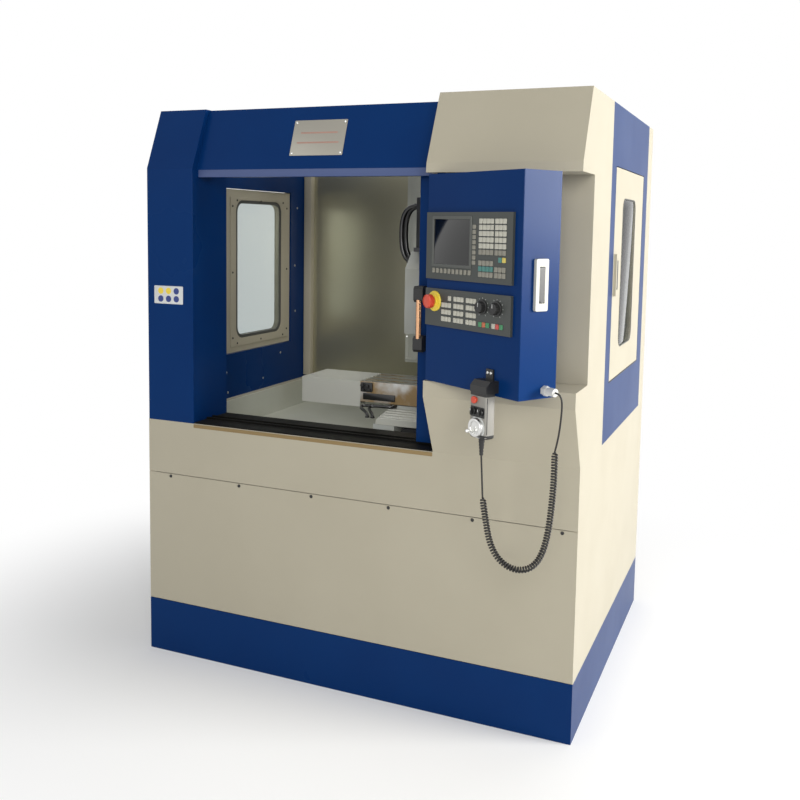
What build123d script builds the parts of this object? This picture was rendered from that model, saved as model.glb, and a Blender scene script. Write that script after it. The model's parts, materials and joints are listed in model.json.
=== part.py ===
from build123d import *
from math import cos, radians, sin
import os

# Mini CNC milling machine in a sheet-metal enclosure, in millimetres.
# X runs to the operator's right, Y from the front to the back, Z up.
# It is drawn with the front sheet at Y = 0 and the enclosure's middle at X = 0, and is moved at
# the end so that the origin lies on the floor under the middle of its outline.

# Enclosure
width = 1510.0
plinth_height = 184.0
skirt_height = 459.0
band_height = 184.0
opening_height = 835.0
hood_height = 238.0
cabinet_depth = 102.0
sheet = 3.0
plinth_plate = 8.0
seam_gap = 2.0
side_strip = 322.0
overrun = 6.0
running_gap = 0.3
pin_gap = 0.05
drum_sides = 24
tube_sides = 8
corner_steps = 5
bend_steps = 3

# Mill: bed, column and guideways, counted from the front
mill_axis = 115.0
bed_front = 280.0
way_cover_length = 125.0
saddle_length = 200.0
throat = 235.0
post_depth = 260.0
post_clearance = 62.0
bed_half = 140.0
bed_foot_half = 220.0
bed_foot_height = 52.0
bed_neck_rise = 146.0
bed_wall = 24.0
bed_rear_overhang = 38.0
bed_drop = 1.0
trough_half = 60.0
trough_depth = 91.0
trough_end_gap = 5.0
way_size = 16.0
way_offset = 105.0
way_inset = 20.0
way_end_gap = 2.0
way_sink = 4.0
post_half = 120.0
post_waist_half = 105.0
channel_half = 45.0
channel_depth = 62.0
channel_rise = 100.0
channel_cap = 20.0
rise_offset = 80.0
rise_inset = 10.0

# Feed motors and screws
motor_size = 80.0
motor_length = 95.0
motor_cut = 12.0
motor_neck_radius = 22.0
motor_neck = 2.0
y_motor_setback = 7.0
y_screw_rise = 45.0
screw_radius = 8.0
screw_journal_radius = 6.0
screw_journal = 12.0
coupling_radius = 14.0
coupling_length = 16.0
bearing_thickness = 15.0
nut_half = 24.0
nut_length = 50.0
nut_wall = 12.0

# Saddle, table and their covers
saddle_half = 135.0
saddle_lift = 4.0
saddle_height = 42.0
table_gap = 3.0
table_height = 75.0
table_way_offset = 70.0
table_half = 250.0
table_depth = 200.0
slot_count = 3
slot_pitch = 60.0
slot_width = 14.0
slot_depth = 24.0
slot_foot_width = 24.0
slot_foot_height = 10.0
x_channel_half = 30.0
x_channel_depth = 38.0
x_screw_rise = 20.0
table_cover_length = 239.0
table_cover_drop = 17.0
table_cover_step = 2.0
way_cover_height = 36.0
way_plate_count = 5
way_plate_step = 3.0
way_plate_lip = 4.0
way_cover_side = 6.0

# Spindle head
head_half = 90.0
head_daylight = 180.0
head_height = 290.0
head_reach = 80.0
head_chamfer = 60.0
head_nose_radius = 58.0
head_nose = 34.0
spindle_radius = 35.0
spindle_flange_radius = 44.0
spindle_flange = 20.0
spindle_stub = 22.0
taper_radius = 15.9
taper_small_radius = 9.0
taper_length = 48.0
spindle_motor_size = 130.0
spindle_motor_length = 190.0
spindle_motor_cap = 40.0
spindle_motor_foot = 14.0
spindle_motor_cut = 22.0
post_over_head = 280.0
conduit_radius = 9.0
conduit_spread = 40.0
conduit_bulge = 38.0
conduit_drop = 35.0
conduit_rise = 160.0
conduit_arc = 34.0

# Column cover
guard_half = 200.0
guard_reach = 40.0
guard_rise = 159.0
guard_over_post = 150.0
guard_gap = 100.0

# Base covers and tray
cover_flange = 24.0
band_flange = 45.0
tray_side_gap = 55.0
tray_front_gap = 83.0
tray_rear_gap = 10.0
tray_depth = 112.0
tray_rim_overlap = 20.0
tray_collar = 18.0

# Left column
column_width = 186.0
column_bend_rise = 24.0
column_drop = 10.0
crown_setback = 80.0
jamb_depth = 200.0
fold_radius = 2.5

# Header over the door
header_setback = 28.0
header_lip_drop = 2.0
header_bend_rise = 23.0
header_crown = 100.0
header_drop = 12.0
header_rear = 165.0
header_return_gap = 10.0

# Control housing with its hood, niche and bulge
housing_width = 450.0
hood_front = 100.0
hood_lean = 3.0
hood_bend_rise = 28.0
niche_wall = 60.0
shelf_rise = 233.0
bulge_front = 92.0
bulge_knee_rise = 186.0
niche_fold_gap = 8.0

# Front door: two leaves that slide one behind the other
leaf_thickness = 25.0
leaf_hidden = 26.0
leaf_spare = 26.0
leaf_park = 63.0
leaf_reveal = 83.0
leaf_stagger = 36.0
lead_closed_gap = 3.0
leaf_overlap = 40.0
leaf_pitch = 32.0
leaf_play = 2.0
stile_width = 64.0
rail_width = 90.0
window_round = 30.0
glass = 6.0
glass_seat = 8.0
guide_rib = 2.0
guide_drop = 14.0
guide_roof_gap = 2.0
track_width = 8.0
track_height = 6.0

# Door handle
handle_rise = 298.0
handle_length = 202.0
handle_inset = 16.0
handle_stand = 38.0
handle_bar_radius = 8.5
bracket_width = 30.0
bracket_height = 49.0
bracket_round = 8.0

# Side panels and side doors
panel_thickness = 30.0
door_front_gap = 80.0
door_rear_gap = 97.0
door_rise = 193.0
door_drop = 194.0
door_gap = 3.0
hinge_gap = 6.0
door_thickness = 26.0
door_rim = 20.0
door_glass_front_gap = 142.0
door_glass_rear_gap = 168.0
door_glass_rise = 97.0
door_glass_drop = 96.0
left_door_rear_gap = 142.0
left_door_rise = 176.0
left_door_drop = 259.0
left_glass_front_gap = 108.0
left_glass_rear_gap = 84.0
left_glass_rise = 62.0
left_glass_drop = 51.0
door_glass_round = 38.0
hinge_pin_radius = 4.0
hinge_pin_length = 12.0
hinge_edge = 8.0
hinge_depth = 10.0
hinge_collar_radius = 7.0

# Flush lift-handle locks on the side doors and the console
lock_width = 43.0
lock_height = 135.0
lock_thickness = 9.4
lock_chamfer = 3.0
lever_width = 19.0
lever_height = 94.0
lever_thickness = 6.0
lever_gap = 0.4
lever_pocket = 7.5
lever_pin_radius = 1.5
lever_pin_reach = 3.0
lever_tail_share = 0.4
door_lock_setback = 8.0

# Rear electrical cabinet
rear_door_side_gap = 305.0
rear_door_rise = 123.0
rear_door_drop = 150.0
rear_door_thickness = 20.0
rear_door_proud = 3.0
rear_frame_depth = 22.0
rack_inset = 50.0
rack_end_inset = 30.0
drive_width = 62.0
drive_height = 200.0
drive_depth = 58.0
drive_pitch = 74.0
drive_count = 4
relay_width = 42.0
relay_height = 78.0
relay_depth = 46.0
relay_count = 11
rack_margin = 60.0
rail_height = 35.0
rail_depth = 8.0
fin_count = 4
fin_share = 0.5
fin_cut = 6.0

# Swinging console, drawn square and then turned
console_turn = 31.5
console_side_gap = 6.0
console_width = 399.0
console_depth = 134.0
console_low_gap = 4.0
console_top_gap = 5.0
console_chamfer = 1.5
pivot_across = 20.0
pivot_deep = 30.0
pivot_radius = 7.0
pivot_collar_radius = 12.0

# Operator panel and machine panel on the console
panel_left = 6.0
panel_width = 364.0
panel_plate = 8.0
panel_rise_share = 0.27656
panel_space = 27.0
operator_height = 188.0
machine_height = 106.0
screen_left = 42.0
screen_width = 158.0
screen_rise = 43.0
screen_height = 126.0
screen_sink = 1.5
key_width = 12.0
key_height = 13.0
key_rise = 1.4
letter_pitch = 15.0
letter_row_pitch = 16.4
letter_left = 239.0
letter_right_left = 303.5
letter_rise = 75.5
letter_columns = 4
letter_right_columns = 3
letter_rows = 6
cursor_rise = 16.0
cursor_row_pitch = 15.3
cursor_rows = 3
cursor_right_rows = 2
insert_rise = 57.0
side_key_left = 212.0
side_key_rise = 47.5
side_key_pitch = 13.7
side_key_height = 10.5
side_key_count = 8
soft_key_left = 38.0
soft_key_rise = 18.0
soft_key_pitch = 17.5
soft_key_width = 10.0
soft_key_count = 10
jog_left = 83.0
jog_group_pitch = 54.0
jog_pitch = 14.5
jog_rise = 16.5
jog_row_pitch = 19.6
jog_rows = 4
jog_short_rows = 3
jog_columns = 3
jog_groups = 3
start_left = 244.5
start_group_pitch = 54.2
start_rise = 15.5

# Emergency stop and override knobs
stop_across = 50.0
stop_rise = 70.0
stop_collar_radius = 29.0
stop_collar = 4.0
stop_neck_radius = 16.0
stop_neck = 9.0
stop_stem_radius = 11.0
stop_stem = 4.5
stop_head_radius = 20.0
stop_head = 18.0
stop_lift = 5.0
stop_crown = 5.0
override_across = (258.0, 316.0)
override_rise = 69.0
override_radius = 15.0
override_skirt_radius = 20.0
override_skirt = 3.0
override_length = 17.0
override_grip = 7.0
knob_shaft_radius = 3.0
knob_shaft = 5.0
knob_shaft_gap = 1.0

# Console lock and cord gland on its right side
console_lock_place = 63.5
console_lock_rise = 299.0
gland_place = 90.0
gland_rise = 21.0
gland_radius = 11.0
gland_nut_radius = 14.0
gland_nut_sides = 6
gland_nut = 14.0
gland_length = 42.0

# Pendant with handwheel, hung on the console
pendant_right_gap = 109.0
pendant_half = 33.0
pendant_thickness = 33.0
pendant_standoff = 10.0
pendant_overlap = 10.0
pendant_height = 122.0
pendant_corner = 12.0
pendant_face_chamfer = 3.0
holder_rise = 60.0
holder_shoulder_rise = 32.0
holder_tab_half = 14.0
holder_plate = 5.0
holder_slope = 14.0
boot_length = 48.0
boot_radius = 9.0
boot_tip_radius = 4.5
wheel_rise = 30.0
wheel_radius = 25.0
wheel_thickness = 12.0
wheel_dish = 4.0
wheel_dish_radius = 17.0
crank_radius = 4.0
crank_length = 16.0
crank_offset = 18.0
crank_angle = 35.0
selector_rise = 72.0
selector_offset = 15.0
selector_radius = 10.0
selector_length = 13.0
selector_grip = 5.0
grip_share = 0.9
pendant_stop_offset = 8.0
pendant_stop_rise = 103.0
pendant_stop_radius = 10.0
pendant_stop_length = 11.0
pendant_stop_stem_radius = 7.0
pendant_stop_lift = 4.0

# Curly cord between the pendant and the gland, as (across, deep, up) from the console's lower right edge
cord_radius = 2.6
coil_radius = 9.5
tail_overlap = 6.0
lead_route = [
    (42, 90, 21), (51, 90.5, 20.5), (58.5, 92, 15), (62, 94, 5), (62, 96, -10),
    (59, 97.5, -37), (55, 97.5, -72), (50, 95.5, -107), (45, 92, -136),
]
coil_route = [
    (45, 92, -134), (45, 92.5, -195), (43, 91, -257), (38.5, 87.5, -329), (31, 81.5, -387),
    (20, 73, -426), (4, 61, -451), (-16, 45.5, -462), (-37, 29.5, -461), (-56, 14.5, -450),
    (-73, 1.5, -429), (-86, -8.5, -397), (-95, -15.5, -349), (-104, -22.5, -275),
]

# Places across
half = width / 2
housing_left = half - housing_width
door_opening_left = column_width - half
leaf_width = (housing_left - door_opening_left + leaf_overlap + leaf_spare) / 2
lead_open_place = min(housing_left - leaf_reveal, half - leaf_park - leaf_width)
lead_closed_place = door_opening_left + lead_closed_gap
trail_open_place = lead_open_place + leaf_stagger
trail_closed_place = lead_closed_place + leaf_width - leaf_overlap
lead_travel = lead_open_place - lead_closed_place
trail_travel = trail_open_place - trail_closed_place
tray_half = half - tray_side_gap
rear_door_half = half - rear_door_side_gap
rack_half = rear_door_half - rack_inset
relay_pitch = 2 * (rack_half - rack_margin) / relay_count
console_corner = housing_left + console_side_gap
pendant_across = console_width - pendant_right_gap

# Places from front to back
spindle_place = bed_front + way_cover_length + saddle_length / 2
post_front = spindle_place + throat
post_rear = post_front + post_depth
rear_wall_place = post_rear + post_clearance
depth = rear_wall_place + cabinet_depth
bed_rear = post_rear + bed_rear_overhang
trough_rear = post_front - trough_end_gap
way_front = bed_front + way_inset
way_rear = post_front - way_end_gap
guard_front = post_front - guard_reach
head_front = spindle_place - head_reach
tray_front = bed_front - tray_front_gap
tray_rear = rear_wall_place - tray_rear_gap
lead_front = niche_wall + niche_fold_gap
lead_rear = lead_front + leaf_thickness
trail_front = lead_front + leaf_pitch
trail_rear = trail_front + leaf_thickness
guide_rear = trail_rear + leaf_play + guide_rib + leaf_play
header_return = niche_wall - header_return_gap
door_front = side_strip + door_front_gap
door_rear = rear_wall_place - door_rear_gap
left_door_rear = rear_wall_place - left_door_rear_gap
console_front = bulge_front

# Heights of the enclosure
seam_height = plinth_height + skirt_height
sill_height = seam_height + band_height
sill_top = sill_height + sheet
hood_bottom = sill_height + opening_height
hood_bend = hood_bottom + hood_bend_rise
height = hood_bottom + hood_height
column_bend = hood_bottom + column_bend_rise
column_top = height - column_drop
header_bottom = hood_bottom - header_lip_drop
header_bend = hood_bottom + header_bend_rise
header_top = height - header_drop
shelf_height = sill_height + shelf_rise
bulge_knee = sill_height + bulge_knee_rise
tray_floor = sill_height - tray_depth
track_top = sill_top + track_height
leaf_low = track_top + running_gap
leaf_top = hood_bottom + leaf_hidden
guide_roof = leaf_top + guide_roof_gap
handle_low = sill_height + handle_rise
handle_high = handle_low + handle_length
door_low = sill_height + door_rise
door_high = height - door_drop
left_door_low = sill_height + left_door_rise
left_door_high = height - left_door_drop
rear_door_low = sill_height + rear_door_rise
rear_door_high = height - rear_door_drop
rack_low = rear_door_low + rack_end_inset
rack_high = rear_door_high - rack_end_inset

# Side doors and their windows, as front, rear, low and high edges
right_leaf = (door_front, door_rear, door_low, door_high)
right_glass = (
    door_front + door_glass_front_gap, door_rear - door_glass_rear_gap,
    door_low + door_glass_rise, door_high - door_glass_drop,
)
left_leaf = (door_front, left_door_rear, left_door_low, left_door_high)
left_glass = (
    door_front + left_glass_front_gap, left_door_rear - left_glass_rear_gap,
    left_door_low + left_glass_rise, left_door_high - left_glass_drop,
)

# Heights of the mill
bed_top = sill_height - bed_drop
bed_neck = plinth_height + bed_neck_rise
trough_floor = bed_top - trough_depth
y_screw_height = trough_floor + y_screw_rise
saddle_low = bed_top + saddle_lift
saddle_top = saddle_low + saddle_height
table_top = saddle_top + table_gap + table_height
table_cover_low = saddle_top - table_cover_drop
table_cover_top = table_top - table_cover_step
head_low = table_top + head_daylight
head_top = head_low + head_height
spindle_top = head_top - spindle_stub
conduit_low = head_top - conduit_drop
conduit_high = head_top + conduit_rise
channel_low = table_top + channel_rise
post_top = head_top + post_over_head
rise_low = channel_low + rise_inset
rise_high = post_top - rise_inset
guard_low = bed_top + guard_rise
guard_top = post_top + guard_over_post

# Heights of the console
console_low = shelf_height + console_low_gap
console_top = hood_bottom - console_top_gap
machine_low = console_low + panel_rise_share * (console_top - console_low)
machine_high = machine_low + machine_height
operator_low = machine_high + panel_space
operator_high = operator_low + operator_height
stop_height = machine_low + stop_rise
override_height = machine_low + override_rise
gland_height = console_low + gland_rise
pendant_high = console_low + pendant_overlap
pendant_low = pendant_high - pendant_height
holder_top = pendant_high + holder_rise
holder_shoulder = pendant_high + holder_shoulder_rise
boot_low = pendant_low - boot_length
wheel_height = pendant_low + wheel_rise
selector_height = pendant_low + selector_rise
pendant_stop_height = pendant_low + pendant_stop_rise

base = (Align.CENTER, Align.CENTER, Align.MIN)


def block(x_low, x_high, y_low, y_high, z_low, z_high):
    """A block between two corners."""
    middle = Pos((x_low + x_high) / 2, (y_low + y_high) / 2, (z_low + z_high) / 2)
    return middle * Box(x_high - x_low, y_high - y_low, z_high - z_low)


def along_x(outline, x_low, x_high):
    """An outline in (y, z) drawn out along X."""
    face = make_face(Polyline(*[(x_low, y, z) for y, z in outline], close=True))
    return extrude(face, x_high - x_low, dir=(1, 0, 0))


def along_y(outline, y_low, y_high):
    """An outline in (x, z) drawn out along Y."""
    face = make_face(Polyline(*[(x, y_low, z) for x, z in outline], close=True))
    return extrude(face, y_high - y_low, dir=(0, 1, 0))


def along_z(outline, z_low, z_high):
    """An outline in (x, y) drawn out along Z."""
    face = make_face(Polyline(*[(x, y, z_low) for x, y in outline], close=True))
    return extrude(face, z_high - z_low, dir=(0, 0, 1))


def folded(path, gauge):
    """The outline of a sheet folded along a path, with its gauge on the path's right."""
    corners = [Vector(*point) for point in path]
    ways = [(end - start).normalized() for start, end in zip(corners, corners[1:])]
    sides = [Vector(way.Y, -way.X) for way in ways]
    inner = [corners[0] + sides[0] * gauge]
    for corner, before, after in zip(corners[1:], sides, sides[1:]):
        inner.append(corner + (before + after) * (gauge / (1 + before.dot(after))))
    inner.append(corners[-1] + sides[-1] * gauge)
    return [(point.X, point.Y) for point in corners + inner[::-1]]


def rod(start, way, radius, length):
    """A round bar from a point along a direction."""
    return Plane(start, z_dir=way) * Cylinder(radius, length, align=base)


def drum(radius, length):
    """A many-sided drum up Z, for round pieces that only need to look round."""
    return extrude(RegularPolygon(radius, drum_sides), length)


def collar(x_place, y_place, low, high, radius):
    """A many-sided collar up Z between two levels."""
    return Pos(x_place, y_place, low) * drum(radius, high - low)


def turned(profile):
    """A half section of (radius, height) points turned about Z."""
    face = make_face(Polyline(*[(radius, 0, up) for radius, up in profile], close=True))
    return revolve(face, Axis.Z)


def rounded_slab(across, up, thickness, radius):
    """A slab in the XZ plane with round corners, its front at Y = 0, its middle on the Y axis."""
    outline = []
    for quarter, (side, rise) in enumerate(((1, 1), (-1, 1), (-1, -1), (1, -1))):
        for step in range(corner_steps + 1):
            angle = radians(90 * (quarter + step / corner_steps))
            outline.append((side * (across / 2 - radius) + radius * cos(angle),
                            rise * (up / 2 - radius) + radius * sin(angle)))
    return along_y(outline, 0, thickness)


def mirrored(part):
    """The same piece for the other side of the machine."""
    return mirror(part, Plane.YZ)


def plinth():
    """Closed blue base, welded from plate, that the machine stands on."""
    box = block(-half, half, 0, depth, 0, plinth_height)
    return box - block(plinth_plate - half, half - plinth_plate, plinth_plate, depth - plinth_plate,
                       plinth_plate, plinth_height - plinth_plate)


def lower_cabinet():
    """Side and rear skirts folded from one sheet, with front flanges for the cover."""
    path = [
        (cover_flange - half, sheet), (-half, sheet), (-half, depth),
        (half, depth), (half, sheet), (half - cover_flange, sheet),
    ]
    return along_z(folded(path, sheet), plinth_height, seam_height)


def lower_front_cover():
    """Removable front sheet over the base."""
    return block(-half, half, 0, sheet, plinth_height + seam_gap, seam_height - seam_gap)


def middle_band():
    """Ring of sheet under the work space, with a flange turned inwards along its top."""
    ring = block(-half, half, 0, depth, seam_height, sill_height)
    ring -= block(sheet - half, half - sheet, sheet, depth - sheet, seam_height, sill_height - sheet)
    edge = sheet + band_flange
    return ring - block(edge - half, half - edge, edge, depth - edge, seam_height, sill_height)


def chip_tray():
    """Pan that hangs under the band's flange, with a collar round the bed."""
    rim_top = sill_height - sheet
    rim_low = rim_top - sheet
    inner = tray_half
    rim_half = half - sheet - band_flange + tray_rim_overlap
    rim_rear = depth - sheet - band_flange + tray_rim_overlap
    rim_front = sheet + band_flange - tray_rim_overlap
    pan = block(-rim_half, rim_half, rim_front, rim_rear, rim_low, rim_top)
    pan += block(-inner - sheet, inner + sheet, tray_front - sheet, tray_rear + sheet, tray_floor, rim_low)
    pan -= block(-inner, inner, tray_front, tray_rear, tray_floor + sheet, rim_top)
    hole_left = mill_axis - bed_half - running_gap
    hole_right = mill_axis + bed_half + running_gap
    hole_front = bed_front - running_gap
    hole_rear = bed_rear + running_gap
    collar_top = tray_floor + tray_collar
    pan += block(hole_left - sheet, hole_right + sheet, hole_front - sheet, hole_rear + sheet,
                 tray_floor, collar_top)
    return pan - block(hole_left, hole_right, hole_front, hole_rear, tray_floor, collar_top)


def door_sill():
    """Black ledge behind the opening, with a track for each door leaf."""
    front = sheet + running_gap * 4
    ledge = block(door_opening_left, half - sheet, front, tray_front, sill_height, sill_top)
    leg_right = half - sheet - band_flange - running_gap
    ledge += block(door_opening_left, leg_right, tray_front - sheet, tray_front,
                   sill_height - sheet, sill_height)
    for leaf_front in (lead_front, trail_front):
        middle = leaf_front + leaf_thickness / 2
        ledge += block(door_opening_left, half - sheet, middle - track_width / 2,
                       middle + track_width / 2, sill_top, track_top)
    return ledge


def left_column():
    """Hollow blue column: folded front, outer side and a jamb beside the opening."""
    front = [(0, sill_height), (0, column_bend), (crown_setback, column_top), (side_strip, column_top)]
    side = front + [(side_strip, sill_height)]
    jamb = front[:-1] + [(jamb_depth, column_top), (jamb_depth, sill_height)]
    shell = along_x(folded(front, sheet), -half, door_opening_left)
    shell += along_x(side, -half, sheet - half)
    shell += along_x(jamb, door_opening_left - sheet, door_opening_left)
    corners = shell.edges().filter_by(Axis.Z).filter_by_position(Axis.Y, -sheet / 2, sheet / 2)
    return fillet(corners, fold_radius)


def door_guide(x_low, x_high):
    """Three ribs under the guide's roof that keep the leaves upright."""
    faces = (
        lead_front - leaf_play - guide_rib,
        lead_rear + leaf_play,
        trail_rear + leaf_play,
    )
    low = guide_roof - guide_drop
    return [block(x_low, x_high, face, face + guide_rib, low, guide_roof) for face in faces]


def header():
    """Sloping beam over the opening, folded down to a lip and back into the door guide."""
    path = [
        (guide_rear, guide_roof), (header_return, guide_roof), (header_return, header_bottom),
        (header_setback, header_bottom), (header_setback, header_bend),
        (header_crown, header_top), (header_rear, header_top),
    ]
    beam = along_x(folded(path, sheet), door_opening_left, housing_left)
    return beam + door_guide(door_opening_left, housing_left)


def control_housing():
    """Cream housing: hood, niche for the console and bulge folded from one sheet, with its ends."""
    front = [
        (0, sill_height), (-bulge_front, bulge_knee), (-bulge_front, shelf_height),
        (niche_wall, shelf_height), (niche_wall, hood_bottom), (-hood_front, hood_bottom),
        (hood_lean - hood_front, hood_bend), (0, height), (side_strip, height),
    ]
    shell = along_x(folded(front, sheet), housing_left, half)
    shell += along_x(front + [(side_strip, sill_height)], half - sheet, half)
    hood_end = front[4:8] + [(header_rear, height), (header_rear, guide_roof + sheet),
                             (niche_wall, guide_roof + sheet)]
    bulge_start = (-bulge_front * (sill_top - sill_height) / (bulge_knee - sill_height), sill_top)
    bulge_end = [bulge_start] + front[1:4] + [(niche_wall, sill_top)]
    for end in (hood_end, bulge_end):
        shell += along_x(end, housing_left, housing_left + sheet)
    shell += block(housing_left, half, niche_wall, niche_wall + sheet, hood_bottom, guide_roof + sheet)
    shell += block(housing_left, half, niche_wall, guide_rear, guide_roof, guide_roof + sheet)
    shell += door_guide(housing_left, half)
    pivot = console_point(pivot_across, pivot_deep, 0)
    for level in (shelf_height, hood_bottom + sheet):
        low = Pos(pivot.X, pivot.Y, level - sheet - overrun)
        shell -= low * Cylinder(pivot_radius + pin_gap, sheet + 2 * overrun, align=base)
    return shell


def leaf(left, front):
    """One sliding door leaf: a flat frame with a round-cornered window opening."""
    slab = block(left, left + leaf_width, front, front + leaf_thickness, leaf_low, leaf_top)
    middle = Pos(left + leaf_width / 2, front - overrun, (leaf_low + leaf_top) / 2)
    opening = rounded_slab(leaf_width - 2 * stile_width, leaf_top - leaf_low - 2 * rail_width,
                           leaf_thickness + 2 * overrun, window_round)
    seat = rounded_slab(leaf_width - 2 * stile_width + 2 * glass_seat,
                        leaf_top - leaf_low - 2 * rail_width + 2 * glass_seat,
                        glass + overrun, window_round + glass_seat)
    seat_place = Pos(left + leaf_width / 2, front + leaf_thickness - glass, (leaf_low + leaf_top) / 2)
    return slab - middle * opening - seat_place * seat


def leaf_window(left, front):
    """Pane in the leaf's rear rebate."""
    pane = rounded_slab(leaf_width - 2 * stile_width + 2 * glass_seat,
                        leaf_top - leaf_low - 2 * rail_width + 2 * glass_seat,
                        glass, window_round + glass_seat)
    place = Pos(left + leaf_width / 2, front + leaf_thickness - glass, (leaf_low + leaf_top) / 2)
    return place * pane


def trail_door():
    """Plain leaf that follows the lead leaf, stiffened by a shallow pressed field."""
    slab = block(trail_open_place, trail_open_place + leaf_width, trail_front, trail_rear, leaf_low, leaf_top)
    field = rounded_slab(leaf_width - 2 * stile_width, leaf_top - leaf_low - 2 * rail_width,
                         leaf_thickness - sheet + overrun, window_round)
    middle = (leaf_low + leaf_top) / 2
    return slab - Pos(trail_open_place + leaf_width / 2, trail_front + sheet, middle) * field


def handle_brackets():
    """Two black end brackets of the door handle."""
    left = lead_open_place + handle_inset - bracket_width / 2
    brackets = []
    for low in (handle_low, handle_high - bracket_height):
        foot = block(left, left + bracket_width, lead_front - handle_stand - handle_bar_radius,
                     lead_front, low, low + bracket_height)
        nose = foot.edges().filter_by(Axis.X).group_by(Axis.Y)[0]
        brackets.append(chamfer(nose, bracket_round))
    bar = handle_axis_bar(handle_bar_radius)
    return Compound([bracket - bar for bracket in brackets])


def handle_axis_bar(radius):
    """Round bar between the middles of the two brackets."""
    low = handle_low + bracket_height / 2
    high = handle_high - bracket_height / 2
    return collar(lead_open_place + handle_inset, lead_front - handle_stand, low, high, radius)


def side_panel(leaf):
    """Side wall drawn on the right, a double skin with the opening for a leaf and its hinge holes."""
    front, rear, low, high = leaf
    inner = half - panel_thickness
    wall = block(inner, half, side_strip, rear_wall_place, sill_height, height)
    wall -= block(inner - overrun, half + overrun, front - door_gap, rear + hinge_gap,
                  low - door_gap, high + door_gap)
    rim = hinge_pin_length + 2 * sheet
    hollow = block(inner + sheet, half - sheet, side_strip + sheet, rear_wall_place - sheet,
                   sill_height + sheet, height - sheet)
    wall -= hollow - block(inner, half, front - rim, rear + rim, low - rim, high + rim)
    for (across, deep, foot), length in side_hinge_pins(leaf):
        start = (across, deep, foot - running_gap)
        wall -= rod(start, (0, 0, 1), hinge_pin_radius + pin_gap, length + 2 * running_gap)
    return wall


def side_hinge_pins(leaf):
    """Lower end and length of a leaf's two hinge pins, drawn through the door's gaps."""
    front, rear, low, high = leaf
    reach = hinge_pin_length + door_gap
    place = (half - hinge_depth, rear - hinge_edge)
    return [((*place, low - reach), reach), ((*place, high), reach)]


def side_door(leaf, window):
    """Side door drawn on the right: a flat leaf with a round-cornered window, hinge pins and a lock plate."""
    front, rear, low, high = leaf
    inner = half - door_thickness
    door = block(inner, half, front, rear, low, high)
    hollow = block(inner + sheet, half - sheet, front + door_rim, rear - door_rim,
                   low + door_rim, high - door_rim)
    door -= hollow - block(inner, half, window[0] - door_rim, window[1] + door_rim,
                           window[2] - door_rim, window[3] + door_rim)
    door -= side_pane(window, door_glass_round, 0, door_thickness + 2 * overrun, inner - overrun)
    door -= side_pane(window, door_glass_round + glass_seat, glass_seat, glass + overrun, inner - overrun)
    for start, length in side_hinge_pins(leaf):
        door += rod(start, (0, 0, 1), hinge_pin_radius, length)
    foot = low - door_gap + running_gap
    door += collar(half - hinge_depth, rear - hinge_edge, foot, low, hinge_collar_radius)
    return door + door_lock_place(leaf) * lock_plate()


def side_pane(window, radius, margin, thickness, inner):
    """Round-cornered slab over a side window, its inner face at a given X."""
    front, rear, low, high = window
    pane = rounded_slab(rear - front + 2 * margin, high - low + 2 * margin, thickness, radius)
    middle = Pos(inner + thickness, (front + rear) / 2, (low + high) / 2)
    return middle * Rot(0, 0, 90) * pane


def side_window(window):
    """Pane in the inner rebate of a side door."""
    return side_pane(window, door_glass_round + glass_seat, glass_seat, glass, half - door_thickness)


def door_lock_place(leaf):
    """Where the lock sits on a side door, facing out."""
    front, rear, low, high = leaf
    return Pos(half, front + door_lock_setback + lock_width / 2, (low + high) / 2) * Rot(0, 0, 90)


def lock_plate():
    """Lock plate that stands proud of Y = 0 towards the front, with a pocket for its lever."""
    plate = block(-lock_width / 2, lock_width / 2, -lock_thickness, 0, -lock_height / 2, lock_height / 2)
    plate = chamfer(plate.edges().filter_by(Axis.Y), lock_chamfer)
    pocket = block(-lever_width / 2 - lever_gap, lever_width / 2 + lever_gap,
                   -lock_thickness - overrun, lever_pocket - lock_thickness,
                   -lever_height / 2 - lever_gap, lever_height / 2 + lever_gap)
    reach = lever_width + 2 * (lever_gap + lever_pin_reach)
    hinge = rod((-reach / 2, *lever_hinge()), (1, 0, 0), lever_pin_radius + pin_gap, reach)
    return plate - pocket - hinge


def lever_hinge():
    """Depth and height of the lever's pin, near its upper end."""
    return lever_thickness / 2 - lock_thickness, (lever_height - lever_thickness) / 2


def lock_lever():
    """Lift handle lying in the plate's pocket, round at its hinged upper end."""
    deep, up = lever_hinge()
    bar = block(-lever_width / 2, lever_width / 2, -lock_thickness, lever_thickness - lock_thickness,
                -lever_height / 2, up)
    tail = bar.edges().filter_by(Axis.Y).group_by(Axis.Z)[0]
    bar = chamfer(tail, lever_width * lever_tail_share)
    knuckle = Plane((-lever_width / 2, deep, up), z_dir=(1, 0, 0))
    bar += knuckle * drum(lever_thickness / 2, lever_width)
    reach = lever_width + 2 * lever_gap + 2 * lever_pin_reach - lever_gap
    return bar + rod((-reach / 2, deep, up), (1, 0, 0), lever_pin_radius, reach)


def rear_wall():
    """Flat sheet between the work space and the electrical cabinet."""
    return block(sheet - half, half - sheet, rear_wall_place, rear_wall_place + sheet,
                 sill_top, height - sheet)


def electrical_cabinet():
    """Shallow cabinet across the back, open to the wall in front of it, with a framed door opening."""
    box = block(-half, half, rear_wall_place, depth, sill_height, height)
    box -= block(sheet - half, half - sheet, rear_wall_place, depth - sheet, sill_top, height - sheet)
    left = -rear_door_half - door_gap
    right = rear_door_half + hinge_gap
    low = rear_door_low - door_gap
    high = rear_door_high + door_gap
    inner = depth - rear_frame_depth
    box += block(left - sheet, right + sheet, inner, depth, low - sheet, high + sheet)
    box -= block(left, right, inner, depth, low, high)
    for start, length in rear_hinge_pins():
        box -= rod(start, (0, 0, 1), hinge_pin_radius + pin_gap, length)
    return box


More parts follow.
